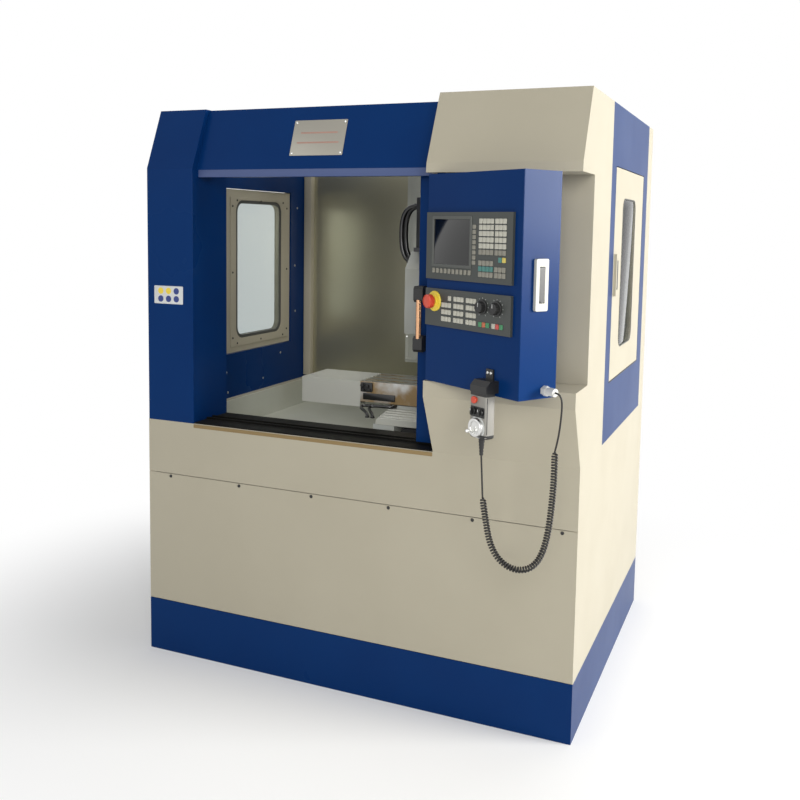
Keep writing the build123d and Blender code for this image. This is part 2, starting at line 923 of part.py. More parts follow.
def rear_hinge_pins():
    """Lower end and length of the rear door's two pins, which pass through the frame."""
    reach = door_gap + sheet
    place = (rear_door_half - hinge_edge, depth + rear_door_proud - hinge_depth)
    return [((*place, rear_door_low - reach), reach), ((*place, rear_door_high), reach)]


def cabinet_door():
    """Rear door: a folded tray, hollow towards the cabinet, on two pins."""
    rear = depth + rear_door_proud
    front = rear - rear_door_thickness
    door = block(-rear_door_half, rear_door_half, front, rear, rear_door_low, rear_door_high)
    wall = 2 * hinge_edge
    door -= block(wall - rear_door_half, rear_door_half - wall, front, rear - sheet,
                  rear_door_low + wall, rear_door_high - wall)
    for start, length in rear_hinge_pins():
        door += rod(start, (0, 0, 1), hinge_pin_radius, length)
    foot = rear_door_low - door_gap + running_gap
    place = (rear_door_half - hinge_edge, rear - hinge_depth)
    return door + collar(*place, foot, rear_door_low, hinge_collar_radius)


def drive_rack():
    """Mounting plate in the cabinet with a row of finned drives over a row of relays on a rail."""
    front = rear_wall_place + sheet
    rack = block(-rack_half, rack_half, front, front + sheet, rack_low, rack_high)
    seat = front + sheet
    top = rack_high - rack_margin
    for number in range(drive_count):
        left = rack_margin - rack_half + number * drive_pitch
        drive = block(left, left + drive_width, seat, seat + drive_depth, top - drive_height, top)
        pitch = drive_width / fin_count
        for fin in range(fin_count):
            slot_left = left + pitch * (fin + fin_share / 2)
            drive -= block(slot_left, slot_left + pitch * fin_share, seat + drive_depth - fin_cut,
                           seat + drive_depth, top - drive_height, top)
        rack += drive
    supply_left = rack_margin - rack_half + drive_count * drive_pitch + rack_margin
    rack += block(supply_left, rack_half - rack_margin, seat, seat + drive_depth, top - drive_height, top)
    low = rack_low + rack_margin
    middle = low + relay_height / 2
    rail = block(rack_margin / 2 - rack_half, rack_half - rack_margin / 2, seat, seat + rail_depth,
                 middle - rail_height / 2, middle + rail_height / 2)
    rack += rail
    for number in range(relay_count):
        left = rack_margin - rack_half + number * relay_pitch
        rack += block(left, left + relay_width, seat + rail_depth, seat + rail_depth + relay_depth,
                      low, low + relay_height)
    return rack


def machine_bed():
    """Casting with a flared foot, a screw trough, two guideways and the screw's bearings."""
    section = [
        (mill_axis - bed_foot_half, plinth_height), (mill_axis + bed_foot_half, plinth_height),
        (mill_axis + bed_foot_half, plinth_height + bed_foot_height), (mill_axis + bed_half, bed_neck),
        (mill_axis + bed_half, bed_top), (mill_axis - bed_half, bed_top),
        (mill_axis - bed_half, bed_neck), (mill_axis - bed_foot_half, plinth_height + bed_foot_height),
    ]
    bed = along_y(section, bed_front, bed_rear)
    left = mill_axis - trough_half
    right = mill_axis + trough_half
    bed -= block(left, right, bed_front, trough_rear, trough_floor, bed_top)
    core = [
        (mill_axis - bed_foot_half + bed_wall, plinth_height),
        (mill_axis + bed_foot_half - bed_wall, plinth_height),
        (mill_axis + bed_foot_half - bed_wall, plinth_height + bed_foot_height),
        (mill_axis + bed_half - bed_wall, bed_neck), (mill_axis + bed_half - bed_wall, trough_floor - bed_wall),
        (mill_axis - bed_half + bed_wall, trough_floor - bed_wall), (mill_axis - bed_half + bed_wall, bed_neck),
        (mill_axis - bed_foot_half + bed_wall, plinth_height + bed_foot_height),
    ]
    bed -= along_y(core, bed_front + bed_wall, bed_rear - bed_wall)
    block_front = y_bearing_front()
    bed += block(left, right, block_front, block_front + bearing_thickness, trough_floor,
                 y_screw_height + coupling_radius + nut_wall)
    start = (mill_axis, block_front, y_screw_height)
    bed -= rod(start, (0, 1, 0), screw_radius + pin_gap, bearing_thickness)
    start = (mill_axis, trough_rear, y_screw_height)
    bed -= rod(start, (0, 1, 0), screw_journal_radius + pin_gap, screw_journal + running_gap)
    for side in (-way_offset, way_offset):
        middle = mill_axis + side
        bed += block(middle - way_size / 2, middle + way_size / 2, way_front, way_rear,
                     bed_top, bed_top + way_size)
    return bed


def y_bearing_front():
    """Front face of the bearing block in the trough, behind the motor and its coupling."""
    return bed_front + y_motor_setback + motor_length + motor_neck + running_gap + coupling_length + running_gap


def feed_motor():
    """Square servo motor along Z with cut corners, its neck at the lower end of its axis."""
    side = motor_size / 2
    cut = side - motor_cut
    outline = [(side, cut), (cut, side), (-cut, side), (-side, cut),
               (-side, -cut), (-cut, -side), (cut, -side), (side, -cut)]
    body = along_z(outline, motor_neck, motor_neck + motor_length)
    return body + drum(motor_neck_radius, motor_neck)


def y_motor():
    """Motor of the Y screw, in the front of the bed's trough."""
    neck = bed_front + y_motor_setback + motor_length + motor_neck
    return Plane((mill_axis, neck, y_screw_height), z_dir=(0, -1, 0)) * feed_motor()


def screw(length):
    """Feed screw along Z: coupling, ground bar and a journal at its far end."""
    bar = drum(coupling_radius, coupling_length)
    bar += Pos(0, 0, coupling_length) * Cylinder(screw_radius, length - coupling_length, align=base)
    return bar + Pos(0, 0, length) * Cylinder(screw_journal_radius, screw_journal, align=base)


def y_screw():
    """Screw that drives the saddle."""
    start = y_bearing_front() - running_gap - coupling_length
    place = Plane((mill_axis, start, y_screw_height), z_dir=(0, 1, 0))
    return place * screw(trough_rear - running_gap - start)


def column():
    """Mill column: casting with a waist, a screw channel and two upright guideways."""
    outline = [
        (mill_axis - post_half, post_front), (mill_axis + post_half, post_front),
        (mill_axis + post_half, (post_front + post_rear) / 2), (mill_axis + post_waist_half, post_rear),
        (mill_axis - post_waist_half, post_rear), (mill_axis - post_half, (post_front + post_rear) / 2),
    ]
    post = along_z(outline, bed_top, post_top)
    post -= block(mill_axis - channel_half, mill_axis + channel_half, post_front,
                  post_front + channel_depth, channel_low, post_top - channel_cap)
    post -= block(mill_axis + bed_wall - post_waist_half, mill_axis + post_waist_half - bed_wall,
                  post_front + channel_depth + bed_wall, post_rear - bed_wall, bed_top + bed_wall,
                  post_top - bed_wall)
    for side in (-rise_offset, rise_offset):
        middle = mill_axis + side
        post += block(middle - way_size / 2, middle + way_size / 2, post_front - way_size, post_front,
                      rise_low, rise_high)
    depth_place = post_front + channel_depth / 2
    bearing_low = post_top - channel_cap - 2 * running_gap - coupling_length - bearing_thickness
    post += block(mill_axis - channel_half, mill_axis + channel_half, post_front, post_front + channel_depth,
                  bearing_low, bearing_low + bearing_thickness)
    start = (mill_axis, depth_place, bearing_low)
    post -= rod(start, (0, 0, 1), screw_radius + pin_gap, bearing_thickness)
    post -= collar(mill_axis, depth_place, post_top - channel_cap, post_top, motor_neck_radius / 2)
    start = (mill_axis, depth_place, channel_low - screw_journal - running_gap)
    return post - rod(start, (0, 0, 1), screw_journal_radius + pin_gap, screw_journal + running_gap)


def z_screw():
    """Screw that lifts the head, hung from the motor on the column's top."""
    top = post_top - channel_cap - running_gap
    place = Plane((mill_axis, post_front + channel_depth / 2, top), z_dir=(0, 0, -1))
    return place * screw(top - channel_low - running_gap)


def z_motor():
    """Motor of the Z screw, standing on the column with its shaft down to the coupling."""
    start = Pos(mill_axis, post_front + channel_depth / 2, post_top)
    motor = start * feed_motor()
    return motor + collar(mill_axis, post_front + channel_depth / 2, post_top - channel_cap, post_top,
                          screw_journal_radius)


def column_cover():
    """Light grey guard over the column's sides, front edges and top."""
    front_left = mill_axis - guard_half
    front_right = mill_axis + guard_half
    outer = block(front_left, front_right, guard_front, post_rear, guard_low, guard_top)
    outer -= block(front_left + sheet, front_right - sheet, guard_front + sheet, post_rear,
                   guard_low, guard_top - sheet)
    outer -= block(mill_axis - guard_gap, mill_axis + guard_gap, guard_front, guard_front + sheet,
                   guard_low, guard_top)
    back = block(front_left, front_right, post_rear, post_rear + sheet, guard_low, guard_top)
    return outer + back


def saddle():
    """Cross slide on the bed's ways, with its own ways for the table and the two screw nuts."""
    rear = spindle_place + saddle_length / 2
    front = spindle_place - saddle_length / 2
    slide = block(mill_axis - saddle_half, mill_axis + saddle_half, front, rear, saddle_low, saddle_top)
    for side in (-way_offset, way_offset):
        middle = mill_axis + side
        slide -= block(middle - way_size / 2 - running_gap, middle + way_size / 2 + running_gap,
                       front, rear, saddle_low, bed_top + way_size + running_gap)
    for side in (-table_way_offset, table_way_offset):
        middle = spindle_place + side
        slide += block(mill_axis - saddle_half, mill_axis + saddle_half, middle - way_size / 2,
                       middle + way_size / 2, saddle_top, saddle_top + way_size)
    nut_front = spindle_place
    slide += block(mill_axis - nut_half, mill_axis + nut_half, nut_front, nut_front + nut_length,
                   y_screw_height - screw_radius - nut_wall, saddle_low)
    slide -= rod((mill_axis, nut_front, y_screw_height), (0, 1, 0), screw_radius + running_gap, nut_length)
    slide += block(mill_axis - nut_length / 2, mill_axis + nut_length / 2, spindle_place - nut_half,
                   spindle_place + nut_half, saddle_top, x_screw_height() + screw_radius + nut_wall / 2)
    start = (mill_axis - nut_length / 2, spindle_place, x_screw_height())
    return slide - rod(start, (1, 0, 0), screw_radius + running_gap, nut_length)


def x_screw_height():
    """Height of the X screw, in the channel under the table."""
    return saddle_top + table_gap + x_screw_rise


def table():
    """Work table with T-slots on top, and grooves and a screw channel underneath."""
    low = saddle_top + table_gap
    left = mill_axis - table_half
    right = mill_axis + table_half
    front = spindle_place - table_depth / 2
    rear = spindle_place + table_depth / 2
    top = block(left, right, front, rear, low, table_top)
    for number in range(slot_count):
        middle = spindle_place + (number - (slot_count - 1) / 2) * slot_pitch
        top -= block(left, right, middle - slot_width / 2, middle + slot_width / 2,
                     table_top - slot_depth, table_top)
        foot = table_top - slot_depth
        top -= block(left, right, middle - slot_foot_width / 2, middle + slot_foot_width / 2,
                     foot, foot + slot_foot_height)
    for side in (-table_way_offset, table_way_offset):
        middle = spindle_place + side
        top -= block(left, right, middle - way_size / 2 - running_gap, middle + way_size / 2 + running_gap,
                     low, saddle_top + way_size + running_gap)
    top -= block(left + bearing_thickness, right - bearing_thickness, spindle_place - x_channel_half,
                 spindle_place + x_channel_half, low, low + x_channel_depth)
    start = (left, spindle_place, x_screw_height())
    top -= rod(start, (1, 0, 0), screw_radius + pin_gap, bearing_thickness)
    start = (right - bearing_thickness, spindle_place, x_screw_height())
    return top - rod(start, (1, 0, 0), screw_journal_radius + pin_gap, screw_journal + running_gap)


def x_screw():
    """Screw under the table, turned by the motor at its left end."""
    start = mill_axis - table_half - running_gap - coupling_length
    place = Plane((start, spindle_place, x_screw_height()), z_dir=(1, 0, 0))
    return place * screw(mill_axis + table_half - bearing_thickness - running_gap - start)


def x_motor():
    """Motor of the X screw, in the cover on the table's left end."""
    neck = mill_axis - table_half - coupling_length - 2 * running_gap
    return Plane((neck, spindle_place, x_screw_height()), z_dir=(-1, 0, 0)) * feed_motor()


def table_cover():
    """Sheet box over the X motor, open underneath and towards the table."""
    right = mill_axis - table_half
    left = right - table_cover_length
    front = spindle_place - table_depth / 2
    rear = spindle_place + table_depth / 2
    cover = block(left, right, front, rear, table_cover_low, table_cover_top)
    cover -= block(left + sheet, right, front + sheet, rear - sheet, table_cover_low, table_cover_top - sheet)
    neck = right - coupling_length - 2 * running_gap - motor_neck
    bracket = block(neck - motor_length, neck, front + sheet, rear - sheet,
                    x_screw_height() + motor_size / 2, table_cover_top - sheet)
    return cover + bracket


def way_cover():
    """Telescopic cover over the bed's ways: plates that step up from the bed's front to the saddle."""
    rear = spindle_place - saddle_length / 2 - running_gap
    top = bed_top + way_cover_height
    pitch = (rear - bed_front) / way_plate_count
    crest = []
    for number in range(way_plate_count):
        start = bed_front + number * pitch
        level = top - (way_plate_count - 1 - number) * way_plate_step
        crest.append((start, level))
        crest.append((start + way_plate_lip, level))
        crest.append((start + way_plate_lip, level - way_plate_step / 2))
        crest.append((start + pitch, level - way_plate_step / 2))
    lining = top - way_plate_count * way_plate_step - sheet
    hood = along_x(crest + [(rear, bed_top), (bed_front, bed_top)],
                   mill_axis - saddle_half, mill_axis + saddle_half)
    return hood - block(mill_axis - saddle_half + way_cover_side, mill_axis + saddle_half - way_cover_side,
                        bed_front, rear, bed_top, lining)


def head_body():
    """Outline of the spindle head in (y, z)."""
    back = post_front - way_size + way_sink
    return [
        (head_front, head_low), (back, head_low), (back, head_top), (head_front + head_chamfer, head_top),
        (head_front, head_top - head_chamfer),
    ]


def spindle_head():
    """Head casting on the column's ways, with the spindle nose, its bore and the screw's nut."""
    body = along_x(head_body(), mill_axis - head_half, mill_axis + head_half)
    back = post_front - way_size + way_sink
    nose = Pos(mill_axis, spindle_place, head_low - head_nose)
    body += nose * Cylinder(head_nose_radius, head_nose, align=base)
    body -= nose * Cylinder(spindle_radius + pin_gap, head_top - head_low + head_nose, align=base)
    for side in (-rise_offset, rise_offset):
        middle = mill_axis + side
        body -= block(middle - way_size / 2 - running_gap, middle + way_size / 2 + running_gap,
                      post_front - way_size - running_gap, back, head_low, head_top)
    nut_low = (head_low + head_top - nut_length) / 2
    screw_place = post_front + channel_depth / 2
    body += block(mill_axis - nut_half, mill_axis + nut_half, back, screw_place + screw_radius + nut_wall,
                  nut_low, nut_low + nut_length)
    return body - rod((mill_axis, screw_place, nut_low), (0, 0, 1), screw_radius + running_gap, nut_length)


def spindle():
    """Turned spindle with a flanged nose and a steep taper for the tool."""
    low = head_low - head_nose - running_gap - spindle_flange
    flange_top = low + spindle_flange
    profile = [
        (taper_radius, low), (spindle_flange_radius, low), (spindle_flange_radius, flange_top),
        (spindle_radius, flange_top), (spindle_radius, spindle_top), (0, spindle_top),
        (0, low + taper_length), (taper_small_radius, low + taper_length),
    ]
    return Pos(mill_axis, spindle_place, 0) * turned(profile)


def spindle_motor():
    """Spindle motor on the head: square foot, cut-cornered body, fan cap and a stub into the bore."""
    side = spindle_motor_size / 2
    cut = side - spindle_motor_cut
    outline = [(side, cut), (cut, side), (-cut, side), (-side, cut),
               (-side, -cut), (-cut, -side), (cut, -side), (side, -cut)]
    foot = block(-side, side, -side, side, head_top, head_top + spindle_motor_foot)
    body = along_z(outline, head_top + spindle_motor_foot, head_top + spindle_motor_length)
    cap_low = head_top + spindle_motor_length
    cap = Pos(0, 0, cap_low) * drum(cut, spindle_motor_cap)
    stub_low = spindle_top + running_gap
    stub = Pos(0, 0, stub_low) * drum(spindle_radius, head_top - stub_low)
    return Pos(mill_axis, spindle_place, 0) * (foot + body + cap + stub)


def head_conduit():
    """Two bent cable conduits from the spindle motor down to the head's left side."""
    out = mill_axis - head_half
    motor_side = mill_axis - spindle_motor_size / 2
    conduits = []
    for side in (-conduit_spread / 2, conduit_spread / 2):
        deep = spindle_place + side
        route = [Vector(motor_side, deep, conduit_high)]
        for level, turn in ((conduit_high - conduit_arc, 90), (conduit_low + conduit_arc, 180)):
            for step in range(bend_steps + 1):
                angle = radians(turn + 90 * step / bend_steps)
                route.append(Vector(out - conduit_bulge + conduit_arc + conduit_arc * cos(angle), deep,
                                    level + conduit_arc * sin(angle)))
        route.append(Vector(out, deep, conduit_low))
        conduits.append(tube(route, conduit_radius))
    return Compound(conduits)


def console_point(across, deep, up):
    """A place on the turned console, in the machine's own axes."""
    return (console_place() * Pos(across, deep, up)).position


def console_place():
    """Where the console stands: its front left corner, turned to face the door."""
    return Pos(console_corner, -console_front, 0) * Rot(0, 0, -console_turn)


def console_box():
    """Closed console box with a pivot pin and collar above and below."""
    box = block(0, console_width, 0, console_depth, console_low, console_top)
    box = chamfer(box.edges().filter_by(Axis.Z), console_chamfer)
    box -= block(sheet, console_width - sheet, sheet, console_depth - sheet,
                 console_low + sheet, console_top - sheet)
    low = Pos(pivot_across, pivot_deep, shelf_height - sheet)
    box += low * Cylinder(pivot_radius, console_low - shelf_height + sheet, align=base)
    box += collar(pivot_across, pivot_deep, shelf_height + running_gap, console_low, pivot_collar_radius)
    high = Pos(pivot_across, pivot_deep, console_top)
    box += high * Cylinder(pivot_radius, hood_bottom + sheet - console_top, align=base)
    return box + collar(pivot_across, pivot_deep, console_top, hood_bottom - running_gap, pivot_collar_radius)


def keys(left, low, across, up, columns, rows, key=(key_width, key_height)):
    """A block of raised keys from its lower left corner, at a pitch across and up."""
    face = -panel_plate
    buttons = []
    for number in range(columns * rows):
        x_low = left + (number % columns) * across
        z_low = low + (number // columns) * up
        buttons.append(block(x_low, x_low + key[0], face - key_rise, face, z_low, z_low + key[1]))
    return buttons


def operator_panel():
    """Panel with a sunk screen, soft keys round it and letter and cursor keys."""
    plate = block(panel_left, panel_left + panel_width, -panel_plate, 0, operator_low, operator_high)
    screen_low = operator_low + screen_rise
    plate -= block(screen_left, screen_left + screen_width, -panel_plate, screen_sink - panel_plate,
                   screen_low, screen_low + screen_height)
    pitch = letter_pitch
    letter_low = operator_low + letter_rise
    cursor_low = operator_low + cursor_rise
    buttons = keys(soft_key_left, operator_low + soft_key_rise, soft_key_pitch, 0, soft_key_count, 1,
                   (soft_key_width, key_height))
    buttons += keys(side_key_left, operator_low + side_key_rise, 0, side_key_pitch, 1, side_key_count,
                    (key_width, side_key_height))
    buttons += keys(letter_left, letter_low, pitch, letter_row_pitch, letter_columns, letter_rows)
    buttons += keys(letter_right_left, letter_low, pitch, letter_row_pitch, letter_right_columns, letter_rows)
    buttons += keys(letter_left, cursor_low, pitch, cursor_row_pitch, letter_columns, cursor_rows)
    buttons += keys(letter_right_left, cursor_low, pitch, cursor_row_pitch, letter_right_columns,
                    cursor_right_rows)
    buttons += keys(letter_right_left + pitch, operator_low + insert_rise, pitch, 0,
                    letter_right_columns - 1, 1)
    return plate + buttons


def machine_panel():
    """Lower panel with three groups of keys, two groups of coloured ones and holes for its knobs."""
    plate = block(panel_left, panel_left + panel_width, -panel_plate, 0, machine_low, machine_high)
    jog_low = machine_low + jog_rise
    buttons = keys(jog_left, jog_low, jog_pitch, jog_row_pitch, jog_columns, jog_short_rows)
    buttons += keys(jog_left + (jog_columns - 1) * jog_pitch, jog_low + jog_short_rows * jog_row_pitch,
                    0, 0, 1, 1)
    for group in range(1, jog_groups):
        left = jog_left + group * jog_group_pitch
        buttons += keys(left, jog_low, jog_pitch, jog_row_pitch, jog_columns, jog_rows)
    for group in range(jog_groups - 1):
        left = start_left + group * start_group_pitch
        buttons += keys(left, machine_low + start_rise, letter_pitch, 0, jog_columns, 1)
    for across in override_across:
        plate -= shaft_hole(across, -panel_plate, override_height)
    return plate + buttons


def shaft_hole(across, deep, up):
    """Bearing hole for a knob's shaft, into a face that looks to the front."""
    return rod((across, deep, up), (0, 1, 0), knob_shaft_radius + pin_gap, knob_shaft + knob_shaft_gap)


def knob_shaft_pin():
    """Shaft of a knob drawn up Z, reaching below its seat."""
    return Pos(0, 0, -knob_shaft) * Cylinder(knob_shaft_radius, knob_shaft, align=base)


def facing_front(across, deep, up, part):
    """Turns a piece drawn up Z so that it stands out of the console's front."""
    return Plane((across, deep, up), x_dir=(1, 0, 0), z_dir=(0, -1, 0)) * part


def estop_collar():
    """Yellow disc and neck behind the emergency stop button."""
    disc = drum(stop_collar_radius, stop_collar)
    disc += drum(stop_neck_radius, stop_neck)
    disc -= drum(stop_stem_radius + pin_gap, stop_neck)
    return facing_front(stop_across, -panel_plate, stop_height, disc)


def estop_button():
    """Red mushroom button with a stem in the collar's neck."""
    stem_low = stop_neck - stop_stem
    head_level = stop_neck + stop_lift
    button = Pos(0, 0, stem_low) * drum(stop_stem_radius, head_level - stem_low)
    head = Pos(0, 0, head_level) * drum(stop_head_radius, stop_head)
    head = chamfer(head.faces().sort_by(Axis.Z)[-1].edges(), stop_crown)
    return facing_front(stop_across, -panel_plate, stop_height, button + head)


def override_knob(across):
    """Selector knob with a skirt, a raised finger grip and a shaft in the panel."""
    knob = drum(override_skirt_radius, override_skirt)
    knob += drum(override_radius, override_length)
    side = override_radius
    for wing in (-1, 1):
        low = min(wing * override_grip / 2, wing * side)
        high = max(wing * override_grip / 2, wing * side)
        knob -= block(low, high, -side, side, override_length / 2, override_length)
    knob += knob_shaft_pin()
    return facing_front(across, -panel_plate - running_gap, override_height, knob)


def console_lock_place_turn():
    """Where the lock sits on the console's right side."""
    return Pos(console_width, console_lock_place, console_low + console_lock_rise) * Rot(0, 0, 90)


def cable_gland():
    """White gland on the console's right side: hexagon against the sheet and a round cap."""
    gland = extrude(RegularPolygon(gland_nut_radius, gland_nut_sides), gland_nut)
    gland += drum(gland_radius, gland_length)
    return Plane((console_width, gland_place, gland_height), z_dir=(1, 0, 0)) * gland


def pendant_holder():
    """Bracket screwed to the console's front, with a hood over the pendant's top."""
    deep = pendant_standoff + pendant_thickness
    outline = [
        (0, pendant_high), (0, holder_top), (-holder_plate, holder_top), (-holder_plate, holder_shoulder),
        (holder_slope - deep, holder_shoulder), (-deep, holder_shoulder - holder_slope), (-deep, pendant_high),
    ]
    left = pendant_across - pendant_half
    right = pendant_across + pendant_half
    hood = along_x(outline, left, right)
    hood -= block(left, pendant_across - holder_tab_half, -deep, 0, holder_shoulder, holder_top)
    return hood - block(pendant_across + holder_tab_half, right, -deep, 0, holder_shoulder, holder_top)


def pendant_face():
    """Y of the pendant's front face."""
    return -pendant_standoff - pendant_thickness


def pendant_body():
    """Hand unit with cut corners, a tapering boot where the cord leaves it and holes for its knobs."""
    face = pendant_face()
    body = block(pendant_across - pendant_half, pendant_across + pendant_half, face, -pendant_standoff,
                 pendant_low, pendant_high)
    body = chamfer(body.edges().filter_by(Axis.Y), pendant_corner)
    body = chamfer(body.faces().sort_by(Axis.Y)[0].edges(), pendant_face_chamfer)
    place = Pos(pendant_across, face / 2 - pendant_standoff / 2, boot_low)
    tip = RegularPolygon(boot_tip_radius, drum_sides)
    body += place * loft([tip, Pos(0, 0, boot_length) * RegularPolygon(boot_radius, drum_sides)])
    body -= shaft_hole(pendant_across, face, wheel_height)
    for side in (-selector_offset, selector_offset):
        body -= shaft_hole(pendant_across + side, face, selector_height)
    depth_in = pendant_stop_lift + pendant_stop_lift + running_gap
    hole = Pos(0, 0, -depth_in) * drum(pendant_stop_stem_radius + pin_gap, depth_in)
    return body - facing_front(pendant_across - pendant_stop_offset, face, pendant_stop_height, hole)


def pendant_wheel():
    """Dished handwheel with its crank handle, on a shaft in the hand unit."""
    wheel = drum(wheel_radius, wheel_thickness)
    wheel -= Pos(0, 0, wheel_thickness - wheel_dish) * drum(wheel_dish_radius, wheel_dish)
    crank = Pos(-crank_offset, 0, wheel_thickness - wheel_dish)
    wheel += Rot(0, 0, crank_angle) * crank * drum(crank_radius, wheel_dish + crank_length)
    wheel += knob_shaft_pin()
    return facing_front(pendant_across, pendant_face() - running_gap, wheel_height, wheel)


def selector_knob(side):
    """Small selector knob on the pendant, with a finger grip and a shaft."""
    knob = drum(selector_radius, selector_length / 2)
    knob += block(-selector_grip / 2, selector_grip / 2, -selector_radius * grip_share,
                  selector_radius * grip_share, 0, selector_length)
    knob += knob_shaft_pin()
    across = pendant_across + side * selector_offset
    return facing_front(across, pendant_face() - running_gap, selector_height, knob)


def pendant_estop():
    """Red stop button on the pendant."""
    stem_low = Pos(0, 0, -pendant_stop_lift)
    button = stem_low * drum(pendant_stop_stem_radius, 2 * pendant_stop_lift)
    button += Pos(0, 0, pendant_stop_lift) * drum(pendant_stop_radius, pendant_stop_length - pendant_stop_lift)
    across = pendant_across - pendant_stop_offset
    return facing_front(across, pendant_face(), pendant_stop_height, button)


def cord_points(route):
    """A cord route counted from the lower right edge of the console, as points on the console."""
    return [Vector(console_width + across, deep, console_low + up) for across, deep, up in route]


def tube(points, radius):
    """A many-sided tube through points, mitred at each."""
    ring = Plane(points[0], z_dir=points[1] - points[0]) * RegularPolygon(radius, tube_sides)
    return sweep(ring, Polyline(*points), transition=Transition.RIGHT)


def pendant_cord():
    """Lead from the gland, the curly stretch as its outer tube, and the tail up to the boot."""
    lead = cord_points(lead_route)
    coil = cord_points(coil_route)
    boot = Vector(pendant_across, pendant_face() / 2 - pendant_standoff / 2, boot_low - running_gap)
    way = (coil[-1] - boot).normalized()
    length = (coil[-1] - boot).length + tail_overlap
    tail = extrude(Plane(boot, z_dir=way) * RegularPolygon(cord_radius, tube_sides), length, dir=way)
    return tube(lead, cord_radius) + tube(coil, coil_radius) + tail


turn = console_place()
right_lock = door_lock_place(right_leaf)
left_lock = door_lock_place(left_leaf)
console_lock = console_lock_place_turn()
nodes = {
    "plinth": plinth(),
    "lower_cabinet": lower_cabinet(),
    "lower_front_cover": lower_front_cover(),
    "middle_band": middle_band(),
    "door_sill": door_sill(),
    "chip_tray": chip_tray(),
    "left_column": left_column(),
    "header": header(),
    "left_side_panel": mirrored(side_panel(left_leaf)),
    "right_side_panel": side_panel(right_leaf),
    "rear_wall": rear_wall(),
    "control_housing": control_housing(),
    "electrical_cabinet": electrical_cabinet(),
    "drive_rack": drive_rack(),
    "machine_bed": machine_bed(),
    "y_motor": y_motor(),
    "y_screw": y_screw(),
    "column": column(),
    "z_motor": z_motor(),
    "z_screw": z_screw(),
    "column_cover": column_cover(),
    "lead_door": leaf(lead_open_place, lead_front),
    "lead_door_window": leaf_window(lead_open_place, lead_front),
    "handle_brackets": handle_brackets(),
    "handle_bar": handle_axis_bar(handle_bar_radius),
    "trail_door": trail_door(),
    "right_side_door": side_door(right_leaf, right_glass),
    "right_door_window": side_window(right_glass),
    "right_lock_lever": right_lock * lock_lever(),
    "left_side_door": mirrored(side_door(left_leaf, left_glass)),
    "left_door_window": mirrored(side_window(left_glass)),
    "left_lock_lever": mirrored(left_lock * lock_lever()),
    "cabinet_door": cabinet_door(),
    "saddle": saddle(),
    "way_cover": way_cover(),
    "table": table(),
    "table_cover": table_cover(),
    "x_motor": x_motor(),
    "x_screw": x_screw(),
    "spindle_head": spindle_head(),
    "spindle_motor": spindle_motor(),
    "spindle": spindle(),
    "head_conduit": head_conduit(),
    "console_box": turn * console_box(),
    "operator_panel": turn * operator_panel(),
    "machine_panel": turn * machine_panel(),
    "estop_collar": turn * estop_collar(),
    "estop_button": turn * estop_button(),
    "spindle_override_knob": turn * override_knob(override_across[0]),
    "feed_override_knob": turn * override_knob(override_across[1]),
    "console_lock_plate": turn * console_lock * lock_plate(),
    "console_lock_lever": turn * console_lock * lock_lever(),
    "cable_gland": turn * cable_gland(),
    "pendant_holder": turn * pendant_holder(),
    "pendant_body": turn * pendant_body(),
    "pendant_wheel": turn * pendant_wheel(),
    "pendant_axis_knob": turn * selector_knob(-1),
    "pendant_step_knob": turn * selector_knob(1),
    "pendant_estop": turn * pendant_estop(),
    "pendant_cord": turn * pendant_cord(),
}

outline_box = Compound([part for name, part in nodes.items() if name != "pendant_cord"]).bounding_box()
middle = outline_box.center()
to_origin = Pos(-middle.X, -middle.Y, -outline_box.min.Z)

os.makedirs("parts", exist_ok=True)
for name, part in nodes.items():
    export_step(to_origin * part, f"parts/{name}.step")
print(len(nodes), "pieces, moved by", to_origin.position)
print("door leaves travel", lead_travel, "and", trail_travel)
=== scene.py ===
# %% [markdown]
# A small enclosed milling machine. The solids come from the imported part, and this lesson gives them
# their paint and metal and adds the fine pieces: screws, keycaps, glass, plates and the curly cord.

# %% Load the solids
import bmesh
import bpy
import json
import math
from mathutils import Matrix, Vector


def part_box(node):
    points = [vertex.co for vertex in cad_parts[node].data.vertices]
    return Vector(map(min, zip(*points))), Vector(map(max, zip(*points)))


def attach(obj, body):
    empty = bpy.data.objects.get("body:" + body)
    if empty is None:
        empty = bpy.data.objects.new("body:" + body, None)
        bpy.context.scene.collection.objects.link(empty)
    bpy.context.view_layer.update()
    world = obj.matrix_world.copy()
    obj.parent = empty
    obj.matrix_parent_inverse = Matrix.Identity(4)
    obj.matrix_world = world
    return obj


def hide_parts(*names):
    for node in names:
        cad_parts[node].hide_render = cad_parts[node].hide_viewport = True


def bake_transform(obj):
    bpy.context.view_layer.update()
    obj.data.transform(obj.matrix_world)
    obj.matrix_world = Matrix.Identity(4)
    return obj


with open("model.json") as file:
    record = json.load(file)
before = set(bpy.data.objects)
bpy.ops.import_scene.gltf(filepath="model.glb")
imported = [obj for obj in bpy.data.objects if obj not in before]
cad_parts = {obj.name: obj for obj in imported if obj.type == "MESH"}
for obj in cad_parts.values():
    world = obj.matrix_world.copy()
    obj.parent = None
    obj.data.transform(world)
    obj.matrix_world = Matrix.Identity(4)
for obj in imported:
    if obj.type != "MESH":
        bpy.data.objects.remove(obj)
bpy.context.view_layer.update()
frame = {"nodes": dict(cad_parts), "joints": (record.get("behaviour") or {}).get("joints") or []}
nodes = frame["nodes"]
front_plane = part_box("plinth")[0].y
print(len(nodes), "solids, front sheet at", round(front_plane, 4))

# %% [markdown]
# Two frames of reference save a lot of sums. `spot` counts millimetres from the middle of the front
# sheet at floor level. `console_at` counts them across, into and up the swinging console.

